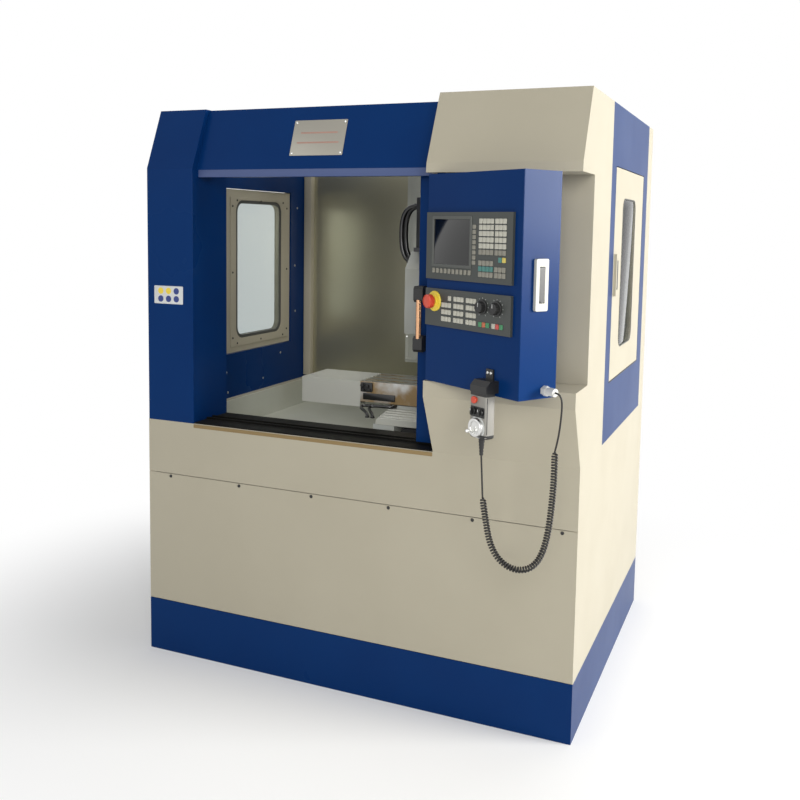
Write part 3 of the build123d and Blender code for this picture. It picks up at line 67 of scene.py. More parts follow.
# %% Places on the machine and on the console
joint_place = {joint["name"]: Vector(joint["pos_m"]) for joint in frame["joints"] if "pos_m" in joint}
console_turn = math.radians(31.5)
console_across = Vector((math.cos(console_turn), -math.sin(console_turn), 0))
console_inward = Vector((math.sin(console_turn), math.cos(console_turn), 0))
console_corner = joint_place["console_swing"] - 0.020 * console_across - 0.030 * console_inward
console_corner.z = 0


def spot(x, y, z):
    return Vector((x / 1000, front_plane + y / 1000, z / 1000))


def console_at(across, inward, up):
    flat = console_corner + console_across * across / 1000 + console_inward * inward / 1000
    return flat + Vector((0, 0, up / 1000))


def axes(origin, x_axis, z_axis):
    """A matrix that carries +X and +Z of a drawn piece onto two directions at a place."""
    z_axis = Vector(z_axis).normalized()
    x_axis = Vector(x_axis).normalized()
    y_axis = z_axis.cross(x_axis)
    turn = Matrix((x_axis, y_axis, z_axis)).transposed().to_4x4()
    return Matrix.Translation(origin) @ turn


def console_face(across, inward, up):
    """Drawn pieces stand with +Z out of the console's front, +X across it and +Y up."""
    return axes(console_at(across, inward, up), console_across, -console_inward)


print("console corner", [round(value, 4) for value in console_corner])

# %% [markdown]
# The camera stands where the photographer stood: to the right of the machine, at chest height, looking
# a little down. Its angles and lens come from the straight edges of the machine. A small shift of the
# lens moves the picture without tipping the upright edges.

# %% Camera
camera_data = bpy.data.cameras.new("photographer")
camera = bpy.data.objects.new("photographer", camera_data)
bpy.context.scene.collection.objects.link(camera)
yaw, pitch, roll = math.radians(22.876), math.radians(-5.444), math.radians(-0.958)
ahead = Vector((-math.sin(yaw) * math.cos(pitch), math.cos(yaw) * math.cos(pitch), math.sin(pitch)))
level = Vector((math.cos(yaw), math.sin(yaw), 0))
down = ahead.cross(level)
right = math.cos(roll) * level + math.sin(roll) * down
below = -math.sin(roll) * level + math.cos(roll) * down
camera.matrix_world = Matrix.Translation(spot(1279.8, -2560.0, 1506.2)) @ Matrix(
    (right, -below, -ahead)).transposed().to_4x4()
camera_data.sensor_width = 36
camera_data.lens = 41.306
camera_data.shift_x = -0.00399
camera_data.shift_y = -0.10701
bpy.context.scene.camera = camera
print("camera at", [round(value, 3) for value in camera.location])

# %% [markdown]
# Soft light from four panels: a strong one beside the machine's right, where it is brightest, one in front
# on the right, a weak one in front on the left and one over the open top.

# %% Light
bpy.context.scene.view_settings.view_transform = "Standard"


def soft_panel(name, place, aim, size, watts, tone):
    data = bpy.data.lights.new(name, "AREA")
    data.shape = "RECTANGLE"
    data.size, data.size_y = size
    data.energy = watts
    data.color = tone
    lamp = bpy.data.objects.new(name, data)
    bpy.context.scene.collection.objects.link(lamp)
    lamp.location = place
    lamp.rotation_euler = (Vector(aim) - Vector(place)).to_track_quat("-Z", "Y").to_euler()
    return lamp


soft_panel("window_side", (5.2, 0.6, 2.1), (0, 0, 1.1), (2.0, 1.6), 328, (1.0, 0.985, 0.95))
soft_panel("front_right", (2.4, -5.2, 2.6), (0, 0, 1.1), (2.6, 2.0), 160, (1.0, 0.99, 0.96))
soft_panel("front_left", (-2.8, -4.6, 3.1), (0, 0, 1.0), (3.0, 2.2), 24, (0.97, 0.985, 1.0))
soft_panel("over_top", (0.3, 0.6, 4.6), (0, 0.1, 0.9), (2.4, 2.4), 60, (1.0, 1.0, 1.0))
print("panels set")

# %% [markdown]
# The world gives an even fill. To the camera, and in metal and glass, it shows as plain white, so one
# function picks out those rays for the world and later for the floor.

# %% White surroundings
def seen_rays(tree):
    """An output that is 1 for rays from the camera, from glossy surfaces and through glass."""
    rays = tree.nodes.new("ShaderNodeLightPath")
    glossy = tree.nodes.new("ShaderNodeMath")
    glossy.operation = "MAXIMUM"
    through = tree.nodes.new("ShaderNodeMath")
    through.operation = "MAXIMUM"
    tree.links.new(rays.outputs["Is Camera Ray"], glossy.inputs[0])
    tree.links.new(rays.outputs["Is Glossy Ray"], glossy.inputs[1])
    tree.links.new(glossy.outputs[0], through.inputs[0])
    tree.links.new(rays.outputs["Is Transmission Ray"], through.inputs[1])
    return through.outputs[0]


world = bpy.data.worlds.new("studio")
bpy.context.scene.world = world
world.use_nodes = True
tree = world.node_tree
tree.nodes.clear()
fill = tree.nodes.new("ShaderNodeBackground")
fill.inputs["Color"].default_value = (0.95, 0.97, 1.0, 1)
fill.inputs["Strength"].default_value = 0.25
white = tree.nodes.new("ShaderNodeBackground")
white.inputs["Color"].default_value = (1, 1, 1, 1)
white.inputs["Strength"].default_value = 1.0
blend = tree.nodes.new("ShaderNodeMixShader")
world_out = tree.nodes.new("ShaderNodeOutputWorld")
tree.links.new(seen_rays(tree), blend.inputs[0])
tree.links.new(fill.outputs[0], blend.inputs[1])
tree.links.new(white.outputs[0], blend.inputs[2])
tree.links.new(blend.outputs[0], world_out.inputs[0])
print("world set")

# %% [markdown]
# The floor is pale near the machine, where it keeps the shadow, and turns to plain white further out.

# %% Floor
floor_mesh = bpy.data.meshes.new("floor")
reach = 30.0
floor_mesh.from_pydata([(-reach, -reach, 0), (reach, -reach, 0), (reach, reach, 0), (-reach, reach, 0)], [],
                       [(0, 1, 2, 3)])
floor = bpy.data.objects.new("floor", floor_mesh)
bpy.context.scene.collection.objects.link(floor)
floor_look = bpy.data.materials.new("floor_white")
floor_look.use_nodes = True
tree = floor_look.node_tree
floor_shader = tree.nodes["Principled BSDF"]
floor_shader.inputs["Base Color"].default_value = (0.90, 0.90, 0.90, 1)
floor_shader.inputs["Roughness"].default_value = 0.9
place = tree.nodes.new("ShaderNodeTexCoord")
distance = tree.nodes.new("ShaderNodeVectorMath")
distance.operation = "LENGTH"
far = tree.nodes.new("ShaderNodeMapRange")
far.interpolation_type = "SMOOTHSTEP"
far.inputs["From Min"].default_value = 0.9
far.inputs["From Max"].default_value = 2.2
far.inputs["To Min"].default_value = 0.25
shown = tree.nodes.new("ShaderNodeMath")
shown.operation = "MULTIPLY"
glow = tree.nodes.new("ShaderNodeEmission")
mixed = tree.nodes.new("ShaderNodeMixShader")
tree.links.new(place.outputs["Object"], distance.inputs[0])
tree.links.new(distance.outputs["Value"], far.inputs["Value"])
tree.links.new(far.outputs["Result"], shown.inputs[0])
tree.links.new(seen_rays(tree), shown.inputs[1])
tree.links.new(shown.outputs[0], mixed.inputs[0])
tree.links.new(floor_shader.outputs[0], mixed.inputs[1])
tree.links.new(glow.outputs[0], mixed.inputs[2])
tree.links.new(mixed.outputs[0], tree.nodes["Material Output"].inputs["Surface"])
floor_mesh.materials.append(floor_look)
print("floor set")

# %% [markdown]
# Sprayed enamel is never quite flat: it has a fine orange-peel skin and faint broad shifts of tone where
# hands and oil have been. Both effects serve every painted sheet, so they are one node group, placed in
# each paint with that paint's own colours.

# %% The enamel skin group
def group_socket(group, name, kind, side, value=None):
    made = group.interface.new_socket(name=name, in_out=side, socket_type=kind)
    if value is not None:
        made.default_value = value
    return made


def new_group(name):
    group = bpy.data.node_groups.new(name, "ShaderNodeTree")
    return group, group.nodes.new("NodeGroupInput"), group.nodes.new("NodeGroupOutput")


enamel_skin, skin_in, skin_out = new_group("enamel_skin")
group_socket(enamel_skin, "Colour", "NodeSocketColor", "INPUT", (0.5, 0.5, 0.5, 1))
group_socket(enamel_skin, "Soiled", "NodeSocketColor", "INPUT", (0.4, 0.4, 0.4, 1))
group_socket(enamel_skin, "Soil", "NodeSocketFloat", "INPUT", 0.3)
group_socket(enamel_skin, "Sheen Low", "NodeSocketFloat", "INPUT", 0.3)
group_socket(enamel_skin, "Sheen High", "NodeSocketFloat", "INPUT", 0.45)
group_socket(enamel_skin, "Colour", "NodeSocketColor", "OUTPUT")
group_socket(enamel_skin, "Roughness", "NodeSocketFloat", "OUTPUT")
group_socket(enamel_skin, "Height", "NodeSocketFloat", "OUTPUT")
where = enamel_skin.nodes.new("ShaderNodeTexCoord")
broad = enamel_skin.nodes.new("ShaderNodeTexNoise")
broad.inputs["Scale"].default_value = 3.2
broad.inputs["Detail"].default_value = 3
broad.inputs["Roughness"].default_value = 0.5
peel = enamel_skin.nodes.new("ShaderNodeTexNoise")
peel.inputs["Scale"].default_value = 420
peel.inputs["Detail"].default_value = 2
spread = enamel_skin.nodes.new("ShaderNodeMapRange")
spread.inputs["From Min"].default_value = 0.30
spread.inputs["From Max"].default_value = 0.78
spread.interpolation_type = "SMOOTHSTEP"
amount = enamel_skin.nodes.new("ShaderNodeMath")
amount.operation = "MULTIPLY"
tint = enamel_skin.nodes.new("ShaderNodeMix")
tint.data_type = "RGBA"
gloss = enamel_skin.nodes.new("ShaderNodeMapRange")
link = enamel_skin.links.new
link(where.outputs["Object"], broad.inputs["Vector"])
link(where.outputs["Object"], peel.inputs["Vector"])
link(broad.outputs["Fac"], spread.inputs["Value"])
link(spread.outputs["Result"], amount.inputs[0])
link(skin_in.outputs["Soil"], amount.inputs[1])
link(amount.outputs[0], tint.inputs["Factor"])
link(skin_in.outputs["Colour"], tint.inputs["A"])
link(skin_in.outputs["Soiled"], tint.inputs["B"])
link(broad.outputs["Fac"], gloss.inputs["Value"])
link(skin_in.outputs["Sheen Low"], gloss.inputs["To Min"])
link(skin_in.outputs["Sheen High"], gloss.inputs["To Max"])
link(tint.outputs["Result"], skin_out.inputs["Colour"])
link(gloss.outputs["Result"], skin_out.inputs["Roughness"])
link(peel.outputs["Fac"], skin_out.inputs["Height"])
print("group", enamel_skin.name, len(enamel_skin.nodes), "nodes")

# %% [markdown]
# Each paint is the same shader with its own colours and shine. The blue is a low-shine enamel, so it stays
# deep under a bright sky, and the bump is a few hundredths of a millimetre deep.

# %% Enamel paints
def enamel(name, colour, soiled, soil=0.35, sheen=(0.30, 0.46), shine=0.35, bump=0.06, metal=0.0):
    look = bpy.data.materials.new(name)
    look.use_nodes = True
    tree = look.node_tree
    shader = tree.nodes["Principled BSDF"]
    shader.inputs["Specular IOR Level"].default_value = shine
    shader.inputs["Metallic"].default_value = metal
    skin = tree.nodes.new("ShaderNodeGroup")
    skin.node_tree = enamel_skin
    skin.inputs["Colour"].default_value = (*colour, 1)
    skin.inputs["Soiled"].default_value = (*soiled, 1)
    skin.inputs["Soil"].default_value = soil
    skin.inputs["Sheen Low"].default_value, skin.inputs["Sheen High"].default_value = sheen
    relief = tree.nodes.new("ShaderNodeBump")
    relief.inputs["Strength"].default_value = bump
    relief.inputs["Distance"].default_value = 0.0004
    tree.links.new(skin.outputs["Colour"], shader.inputs["Base Color"])
    tree.links.new(skin.outputs["Roughness"], shader.inputs["Roughness"])
    tree.links.new(skin.outputs["Height"], relief.inputs["Height"])
    tree.links.new(relief.outputs["Normal"], shader.inputs["Normal"])
    return look


blue_enamel = enamel("blue_enamel", (0.002, 0.029, 0.128), (0.002, 0.022, 0.105), 0.5, (0.24, 0.34), 0.07)
# The paler blue below is painted highlight: a lit copy of the blue enamel for the light the header's lip
# catches.
lip_highlight_blue = enamel("lip_highlight_blue", (0.080, 0.110, 0.235), (0.065, 0.092, 0.20), 0.4, (0.30, 0.42), 0.2)
cream_enamel = enamel("cream_enamel", (0.43, 0.395, 0.305), (0.395, 0.36, 0.275), 0.5)
pale_sheet = enamel("pale_sheet", (0.50, 0.51, 0.45), (0.42, 0.42, 0.34), 0.6)
cover_white = enamel("cover_white", (0.53, 0.53, 0.48), (0.46, 0.46, 0.40), 0.5)
casting_grey = enamel("casting_grey", (0.46, 0.48, 0.46), (0.33, 0.31, 0.23), 0.7, (0.38, 0.6), 0.3, 0.25)
wall_satin = enamel("wall_satin", (0.44, 0.42, 0.30), (0.38, 0.35, 0.23), 0.4, (0.26, 0.32), 0.4, 0.01, 0.75)
sill_black = enamel("sill_black", (0.004, 0.004, 0.0035), (0.012, 0.011, 0.009), 0.5, (0.4, 0.6), 0.1)
print("paints ready")

# %% [markdown]
# Plastics and rubbers are one plain shader each: what tells them apart is colour and gloss. Ground steel
# has fine scratches along its length, made by a noise stretched a hundred times.

# %% Plastics, metals and glass
def plain(name, colour, rough, metal=0.0, coat=0.0):
    look = bpy.data.materials.new(name)
    look.use_nodes = True
    shader = look.node_tree.nodes["Principled BSDF"]
    shader.inputs["Base Color"].default_value = (*colour, 1)
    shader.inputs["Roughness"].default_value = rough
    shader.inputs["Metallic"].default_value = metal
    shader.inputs["Coat Weight"].default_value = coat
    return look


def ground(name, colour, low, high, stretch):
    """Metal whose gloss varies along fine parallel scratches."""
    look = plain(name, colour, low, 1.0)
    tree = look.node_tree
    shader = tree.nodes["Principled BSDF"]
    where = tree.nodes.new("ShaderNodeTexCoord")
    squeeze = tree.nodes.new("ShaderNodeMapping")
    squeeze.inputs["Scale"].default_value = stretch
    lines = tree.nodes.new("ShaderNodeTexNoise")
    lines.inputs["Scale"].default_value = 6
    lines.inputs["Detail"].default_value = 5
    gloss = tree.nodes.new("ShaderNodeMapRange")
    gloss.inputs["To Min"].default_value = low
    gloss.inputs["To Max"].default_value = high
    tree.links.new(where.outputs["Object"], squeeze.inputs["Vector"])
    tree.links.new(squeeze.outputs["Vector"], lines.inputs["Vector"])
    tree.links.new(lines.outputs["Fac"], gloss.inputs["Value"])
    tree.links.new(gloss.outputs["Result"], shader.inputs["Roughness"])
    return look


black_plastic = plain("black_plastic", (0.012, 0.012, 0.012), 0.38)
motor_black = plain("motor_black", (0.02, 0.02, 0.022), 0.42)
panel_grey = plain("panel_grey", (0.045, 0.050, 0.046), 0.42)
stop_red = plain("stop_red", (0.62, 0.055, 0.02), 0.32, coat=0.3)
stop_yellow = plain("stop_yellow", (0.80, 0.60, 0.05), 0.4, coat=0.2)
gland_white = plain("gland_white", (0.58, 0.58, 0.56), 0.42)
rubber_black = plain("rubber_black", (0.012, 0.011, 0.010), 0.45)
zinc = plain("zinc", (0.70, 0.70, 0.68), 0.28, 1.0)
pendant_grey = plain("pendant_grey", (0.27, 0.26, 0.235), 0.45)
screw_dark = plain("screw_dark", (0.05, 0.05, 0.05), 0.35, 0.6)
copper = ground("copper", (0.74, 0.42, 0.24), 0.18, 0.34, (160, 160, 4))
steel = ground("steel", (0.56, 0.56, 0.54), 0.22, 0.46, (4, 160, 160))
sill_brass = plain("sill_brass", (0.24, 0.165, 0.068), 0.45, 0.2)
oiled_steel = ground("oiled_steel", (0.56, 0.56, 0.54), 0.22, 0.42, (4, 160, 160))
rack_grey = plain("rack_grey", (0.22, 0.23, 0.24), 0.5)
panel_edge = plain("panel_edge", (0.075, 0.08, 0.072), 0.35)
plate_metal = ground("plate_metal", (0.31, 0.295, 0.255), 0.36, 0.52, (4, 160, 160))
line_red = plain("line_red", (0.38, 0.215, 0.17), 0.5)
label_white = plain("label_white", (0.62, 0.63, 0.62), 0.4)
dot_blue = plain("dot_blue", (0.02, 0.04, 0.19), 0.4)
seal_grey = plain("seal_grey", (0.06, 0.062, 0.06), 0.5)
hose_black = plain("hose_black", (0.008, 0.008, 0.008), 0.3, coat=0.3)
screen_black = plain("screen_black", (0.004, 0.0045, 0.004), 0.09, coat=0.4)
window_glass = plain("window_glass", (0.50, 0.55, 0.55), 0.03)
window_glass.node_tree.nodes["Principled BSDF"].inputs["Transmission Weight"].default_value = 1.0
window_glass.node_tree.nodes["Principled BSDF"].inputs["IOR"].default_value = 1.45
print("plastics, metals and glass ready")

# %% [markdown]
# The table left the factory under a film of rust-proofing oil. It has dried brown on the front, where it ran
# down, and is wiped off the top. The object's own normal tells the front from the top, and a noise breaks
# the film's edge.

# %% Dried oil on the table
tree = oiled_steel.node_tree
oil_place = tree.nodes.new("ShaderNodeTexCoord")
oil_parts = tree.nodes.new("ShaderNodeSeparateXYZ")
oil_noise = tree.nodes.new("ShaderNodeTexNoise")
oil_noise.inputs["Scale"].default_value = 14
oil_noise.inputs["Detail"].default_value = 5
oil_edge = tree.nodes.new("ShaderNodeMapRange")
oil_edge.inputs["From Min"].default_value = 0.30
oil_edge.inputs["From Max"].default_value = 0.55
oil_front = tree.nodes.new("ShaderNodeMath")
oil_front.operation = "MULTIPLY"
oil_front.inputs[1].default_value = -1
oil_front.use_clamp = True
oil_amount = tree.nodes.new("ShaderNodeMath")
oil_amount.operation = "MULTIPLY"
oil_tint = tree.nodes.new("ShaderNodeMix")
oil_tint.data_type = "RGBA"
oil_tint.inputs["A"].default_value = (0.56, 0.56, 0.54, 1)
oil_tint.inputs["B"].default_value = (0.30, 0.20, 0.09, 1)
bare_metal = tree.nodes.new("ShaderNodeMapRange")
bare_metal.inputs["To Min"].default_value = 1.0
bare_metal.inputs["To Max"].default_value = 0.25
tree.links.new(oil_place.outputs["Normal"], oil_parts.inputs["Vector"])
tree.links.new(oil_place.outputs["Object"], oil_noise.inputs["Vector"])
tree.links.new(oil_noise.outputs["Fac"], oil_edge.inputs["Value"])
tree.links.new(oil_parts.outputs["Y"], oil_front.inputs[0])
tree.links.new(oil_front.outputs[0], oil_amount.inputs[0])
tree.links.new(oil_edge.outputs["Result"], oil_amount.inputs[1])
tree.links.new(oil_amount.outputs[0], oil_tint.inputs["Factor"])
tree.links.new(oil_amount.outputs[0], bare_metal.inputs["Value"])
tree.links.new(oil_tint.outputs["Result"], tree.nodes["Principled BSDF"].inputs["Base Color"])
tree.links.new(bare_metal.outputs["Result"], tree.nodes["Principled BSDF"].inputs["Metallic"])
print("oil film ready")

# %% [markdown]
# Each solid takes one finish. A narrow bevel on every hard edge catches the light as a folded sheet or a
# moulded edge does, and leaves the solid's own vertices alone because it is a modifier.

# %% Dress the solids
finishes = {
    blue_enamel: "plinth left_column header left_side_panel right_side_panel lead_door trail_door console_box",
    cream_enamel: "lower_cabinet lower_front_cover middle_band control_housing electrical_cabinet cabinet_door "
                  "right_side_door left_side_door",
    pale_sheet: "chip_tray column_cover",
    wall_satin: "rear_wall",
    cover_white: "table_cover console_lock_plate way_cover",
    casting_grey: "machine_bed column saddle spindle_head",
    sill_black: "door_sill",
    rack_grey: "drive_rack",
    motor_black: "y_motor z_motor x_motor spindle_motor",
    steel: "y_screw z_screw x_screw spindle",
    oiled_steel: "table",
    window_glass: "lead_door_window right_door_window left_door_window",
    black_plastic: "handle_brackets right_lock_lever left_lock_lever console_lock_lever pendant_holder "
                   "pendant_axis_knob pendant_step_knob spindle_override_knob feed_override_knob",
    pendant_grey: "pendant_body",
    zinc: "pendant_wheel",
    copper: "handle_bar",
    panel_grey: "operator_panel machine_panel",
    stop_yellow: "estop_collar",
    stop_red: "estop_button pendant_estop",
    gland_white: "cable_gland",
    rubber_black: "head_conduit pendant_cord",
}
edge_width = {"estop_button": 0.003, "pendant_estop": 0.002, "pendant_body": 0.0015, "console_box": 0.0008,
              "pendant_holder": 0.003, "pendant_wheel": 0.0012, "estop_collar": 0.001, "handle_brackets": 0.002,
              "operator_panel": 0.0006, "machine_panel": 0.0006, "spindle_head": 0.006, "machine_bed": 0.006,
              "column": 0.006, "saddle": 0.003, "spindle_motor": 0.004, "plinth": 0.002}
for look, names in finishes.items():
    for name in names.split():
        solid = nodes[name]
        solid.data.materials.clear()
        solid.data.materials.append(look)
        soften = solid.modifiers.new("edge", "BEVEL")
        soften.width = edge_width.get(name, 0.001)
        soften.segments = 2
        soften.limit_method = "ANGLE"
        soften.angle_limit = math.radians(40)
        soften.harden_normals = False
        for face in solid.data.polygons:
            face.use_smooth = False
print("dressed", sum(len(names.split()) for names in finishes.values()), "of", len(nodes), "solids")

# %% [markdown]
# Fine pieces are drawn from stacks of rings. A ring is a closed loop of points in millimetres, and `skin`
# joins each ring to the next and closes the ends. Round rings make turned pieces, rounded rectangles make
# plates and keycaps, and a stack that runs back to its start makes a frame with a window.

# %% Drawing tools for fine pieces
def piece(name, body, look, draw):
    """Draws one mesh and hangs it on a body."""
    sketch = bmesh.new()
    draw(sketch)
    bmesh.ops.recalc_face_normals(sketch, faces=sketch.faces)
    mesh = bpy.data.meshes.new(name)
    sketch.to_mesh(mesh)
    sketch.free()
    mesh.shade_smooth()
    mesh.set_sharp_from_angle(angle=math.radians(34))
    mesh.materials.append(look)
    made = bpy.data.objects.new(name, mesh)
    bpy.context.scene.collection.objects.link(made)
    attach(made, body)
    return made


def skin(sketch, place, rings, loop=False):
    rows = [[sketch.verts.new(place @ (point / 1000)) for point in ring] for ring in rings]
    pairs = list(zip(rows, rows[1:]))
    if loop:
        pairs.append((rows[-1], rows[0]))
    for low, high in pairs:
        for here in range(len(low)):
            sketch.faces.new((low[here - 1], low[here], high[here], high[here - 1]))
    if not loop:
        sketch.faces.new(rows[0][::-1])
        sketch.faces.new(rows[-1])


def oblong(width, height, radius, level, shift=(0, 0), steps=3):
    """A rounded rectangle as a ring."""
    ring = []
    for quarter, (side, rise) in enumerate(((1, 1), (-1, 1), (-1, -1), (1, -1))):
        for step in range(steps + 1):
            angle = math.pi / 2 * (quarter + step / steps)
            ring.append(Vector((shift[0] + side * (width / 2 - radius) + radius * math.cos(angle),
                                shift[1] + rise * (height / 2 - radius) + radius * math.sin(angle), level)))
    return ring


def turned(sketch, place, profile, sides=32, flutes=0, groove=0.0):
    """A turned piece from (radius, height) pairs, with finger grooves if asked for."""
    rings = []
    for radius, level in profile:
        ring = []
        for step in range(sides):
            angle = 2 * math.pi * step / sides
            reach = max(0.05, radius - groove * (0.5 + 0.5 * math.cos(flutes * angle)))
            ring.append(Vector((reach * math.cos(angle), reach * math.sin(angle), level)))
        rings.append(ring)
    skin(sketch, place, rings)


def plate(sketch, place, width, height, rise, radius=2.0, edge=0.4):
    """A flat-backed plate whose front edge is rounded over."""
    skin(sketch, place, [
        oblong(width, height, radius, 0), oblong(width, height, radius, rise - edge),
        oblong(width - 0.6 * edge, height - 0.6 * edge, radius - 0.3 * edge, rise - 0.3 * edge),
        oblong(width - 2 * edge, height - 2 * edge, radius - edge, rise),
    ])


def bezel(sketch, place, outer, inner, rise, edge=0.5, steps=8):
    """A flat frame between two outlines, each (width, height, radius, across, up)."""
    rings = []
    for (wide, high, radius, across, up), sign in ((outer, -1), (inner, 1)):
        stack = [oblong(wide, high, radius, level, (across, up), steps) for level in (0, rise - edge)]
        grow = 2 * sign * edge
        stack.append(oblong(wide + grow, high + grow, radius + sign * edge, rise, (across, up), steps))
        rings += stack if sign < 0 else stack[::-1]
    skin(sketch, place, rings, loop=True)


def screw(sketch, place, radius, rise):
    """A button head with a socket."""
    head = [(radius, 0), (radius, 0.35 * rise), (0.82 * radius, 0.85 * rise), (0.5 * radius, rise)]
    socket = [(0.42 * radius, 0.95 * rise), (0.40 * radius, 0.4 * rise)]
    turned(sketch, place, head + socket, 18)


ways = {"front": ((1, 0, 0), (0, -1, 0)), "right": ((0, 1, 0), (1, 0, 0)), "left": ((0, -1, 0), (-1, 0, 0)),
        "rear": ((-1, 0, 0), (0, 1, 0)), "up": ((1, 0, 0), (0, 0, 1))}


def facing(way, x, y, z):
    """Drawn pieces stand with +Z out of the machine's front, a side, the rear or the top."""
    return axes(spot(x, y, z), *ways[way])


print("drawing tools ready")

# %% [markdown]
# The front sheets: a row of dark screws along the lower cover, a bare brushed plate on the sloping header,
# a paler blue strip along the header's lip that is painted highlight for the light the lip catches, a small
# plain label plate with coloured dots on the left column, and the tan trim along the sill.

# %% Plates, trim and screws on the front
def draw_cover_screws(sketch):
    for x in (-664, -387, -113, 160, 436, 710):
        screw(sketch, facing("front", x, 0, 633), 5.5, 3)


slope = math.atan2(72, 203)
slope_out = (0, -math.cos(slope), math.sin(slope))


def on_slope(across, up, out=0):
    """A place on the header's slope, counted across from the middle and up from its lower bend."""
    foot = spot(across, 28 + up * math.sin(slope), 1685 + up * math.cos(slope))
    return axes(foot + Vector(slope_out) * out / 1000, (1, 0, 0), slope_out)


def draw_nameplate(sketch):
    plate(sketch, on_slope(-130, 105.75), 190, 122.5, 1.6, 2.5, 0.5)


def draw_nameplate_rivets(sketch):
    for side in (-87, 87):
        for rise in (-53.5, 53.5):
            place = on_slope(-130 + side, 105.75 + rise, 1.5)
            turned(sketch, place, [(3.4, 0), (3.2, 0.9), (2, 1.7), (0.4, 2)], 20)


def draw_nameplate_lines(sketch):
    for rise, wide in ((17, 132), (-17, 150)):
        plate(sketch, on_slope(-130, 105.75 + rise, 1.5), wide, 5, 0.3, 1, 0.1)


# The strip on the header's lip is painted highlight, a paler blue for the light the lip catches.
def draw_header_lip(sketch):
    plate(sketch, facing("front", -132, 28, 1672.5), 864, 24, 0.5, 1, 0.2)


def draw_label(sketch):
    plate(sketch, facing("front", -668, 0, 1262.5), 118, 61, 0.8, 2.5, 0.2)


def draw_dots(columns_rows):
    def draw(sketch):
        for column, row in columns_rows:
            place = facing("front", -668 + 32 * column, -0.7, 1262.5 + 27 * row)
            turned(sketch, place, [(11, 0), (11, 0.3)], 36)
    return draw


def draw_sill_trim(sketch):
    plate(sketch, facing("front", -132.5, 0, 819), 871, 12, 1.6, 1.2, 0.6)


piece("cover_screws", "frame", screw_dark, draw_cover_screws)
piece("nameplate", "frame", plate_metal, draw_nameplate)
piece("nameplate_rivets", "frame", zinc, draw_nameplate_rivets)
piece("nameplate_lines", "frame", line_red, draw_nameplate_lines)
piece("lip_highlight_strip", "frame", lip_highlight_blue, draw_header_lip)
piece("label_plate", "frame", label_white, draw_label)
piece("label_dots_yellow", "frame", stop_yellow, draw_dots([(-1, 0.5), (0, 0.5)]))
piece("label_dots_blue", "frame", dot_blue,
      draw_dots([(1, 0.5), (-1, -0.5), (0, -0.5), (1, -0.5)]))
piece("sill_trim", "frame", sill_brass, draw_sill_trim)
print("front dressed")

# %% [markdown]
# The console's two panels carry about a hundred and twenty keys in blocks. One table lists the blocks:
# where the first key stands, the pitch, how many columns and rows, the key's size and its colour.

# %% Screen and keycaps
face_deep = -8.0
key_blocks = [
    (245, 1459.4, 15, 16.4, 4, 5, 12.6, 13.4, "pale"), (245, 1443, 15, 16.4, 4, 1, 12.6, 13.4, "dim"),
    (309.5, 1459.4, 15, 16.4, 3, 5, 12.6, 13.4, "pale"), (309.5, 1443, 15, 16.4, 3, 1, 12.6, 13.4, "dim"),
    (245, 1383.5, 15, 15.3, 4, 1, 12.6, 13.4, "dim"), (245, 1398.8, 15, 15.3, 4, 1, 12.6, 13.4, "teal"),
    (245, 1414.1, 15, 15.3, 4, 1, 12.6, 13.4, "dim"), (309.5, 1383.5, 15, 15.3, 3, 2, 12.6, 13.4, "dim"),
    (324.5, 1424.5, 15, 15, 1, 1, 12.6, 13.4, "teal"), (339.5, 1424.5, 15, 15, 1, 1, 12.6, 13.4, "yellow"),
    (218, 1413.75, 15, 13.7, 1, 8, 12.6, 11, "dim"), (43, 1385.5, 17.5, 15, 10, 1, 10.6, 13.4, "dim"),
    (89, 1251, 14.5, 19.6, 3, 3, 12.6, 13.4, "pale"), (118, 1309.8, 14.5, 19.6, 1, 1, 12.6, 13.4, "pale"),
    (143, 1251, 14.5, 19.6, 3, 4, 12.6, 13.4, "pale"), (197, 1251, 14.5, 19.6, 3, 4, 12.6, 13.4, "pale"),
    (250.5, 1250, 15, 15, 1, 1, 12.6, 13.4, "green"), (265.5, 1250, 15, 15, 1, 1, 12.6, 13.4, "orange"),
    (280.5, 1250, 15, 15, 1, 1, 12.6, 13.4, "green"), (304.7, 1250, 15, 15, 1, 1, 12.6, 13.4, "pale"),
    (319.7, 1250, 15, 15, 1, 1, 12.6, 13.4, "red"), (334.7, 1250, 15, 15, 1, 1, 12.6, 13.4, "green"),
]
key_colours = {"pale": (0.50, 0.49, 0.42), "dim": (0.25, 0.24, 0.20), "teal": (0.07, 0.21, 0.19),
               "yellow": (0.62, 0.50, 0.12), "green": (0.06, 0.24, 0.11), "orange": (0.48, 0.14, 0.07),
               "red": (0.50, 0.08, 0.07)}


def draw_keys(colour):
    def draw(sketch):
        for left, low, pitch, rise, columns, rows, wide, high, tone in key_blocks:
            for number in range(columns * rows if tone == colour else 0):
                across = left + pitch * (number % columns)
                up = low + rise * (number // columns)
                plate(sketch, console_face(across, face_deep, up), wide, high, 2.6, 1.6, 0.9)
    return draw


for tone, colour in key_colours.items():
    piece("keys_" + tone, "console", plain("key_" + tone, colour, 0.42), draw_keys(tone))


def draw_screen_bezel(sketch):
    bezel(sketch, console_face(121, face_deep, 1467), (174, 142, 4, 0, 0), (157, 125, 2, 0, 0), 2.4, 0.8)


def draw_screen(sketch):
    plate(sketch, console_face(121, face_deep, 1467), 158, 126, 0.9, 2, 0.2)


piece("screen_bezel", "console", panel_edge, draw_screen_bezel)
piece("screen_glass", "console", screen_black, draw_screen)
print("keys and screen ready")

# %% [markdown]
# Buttons and knobs are turned pieces on their own bodies, so they press and turn with the solids they
# stand for. White ticks round each knob stay on the panel.

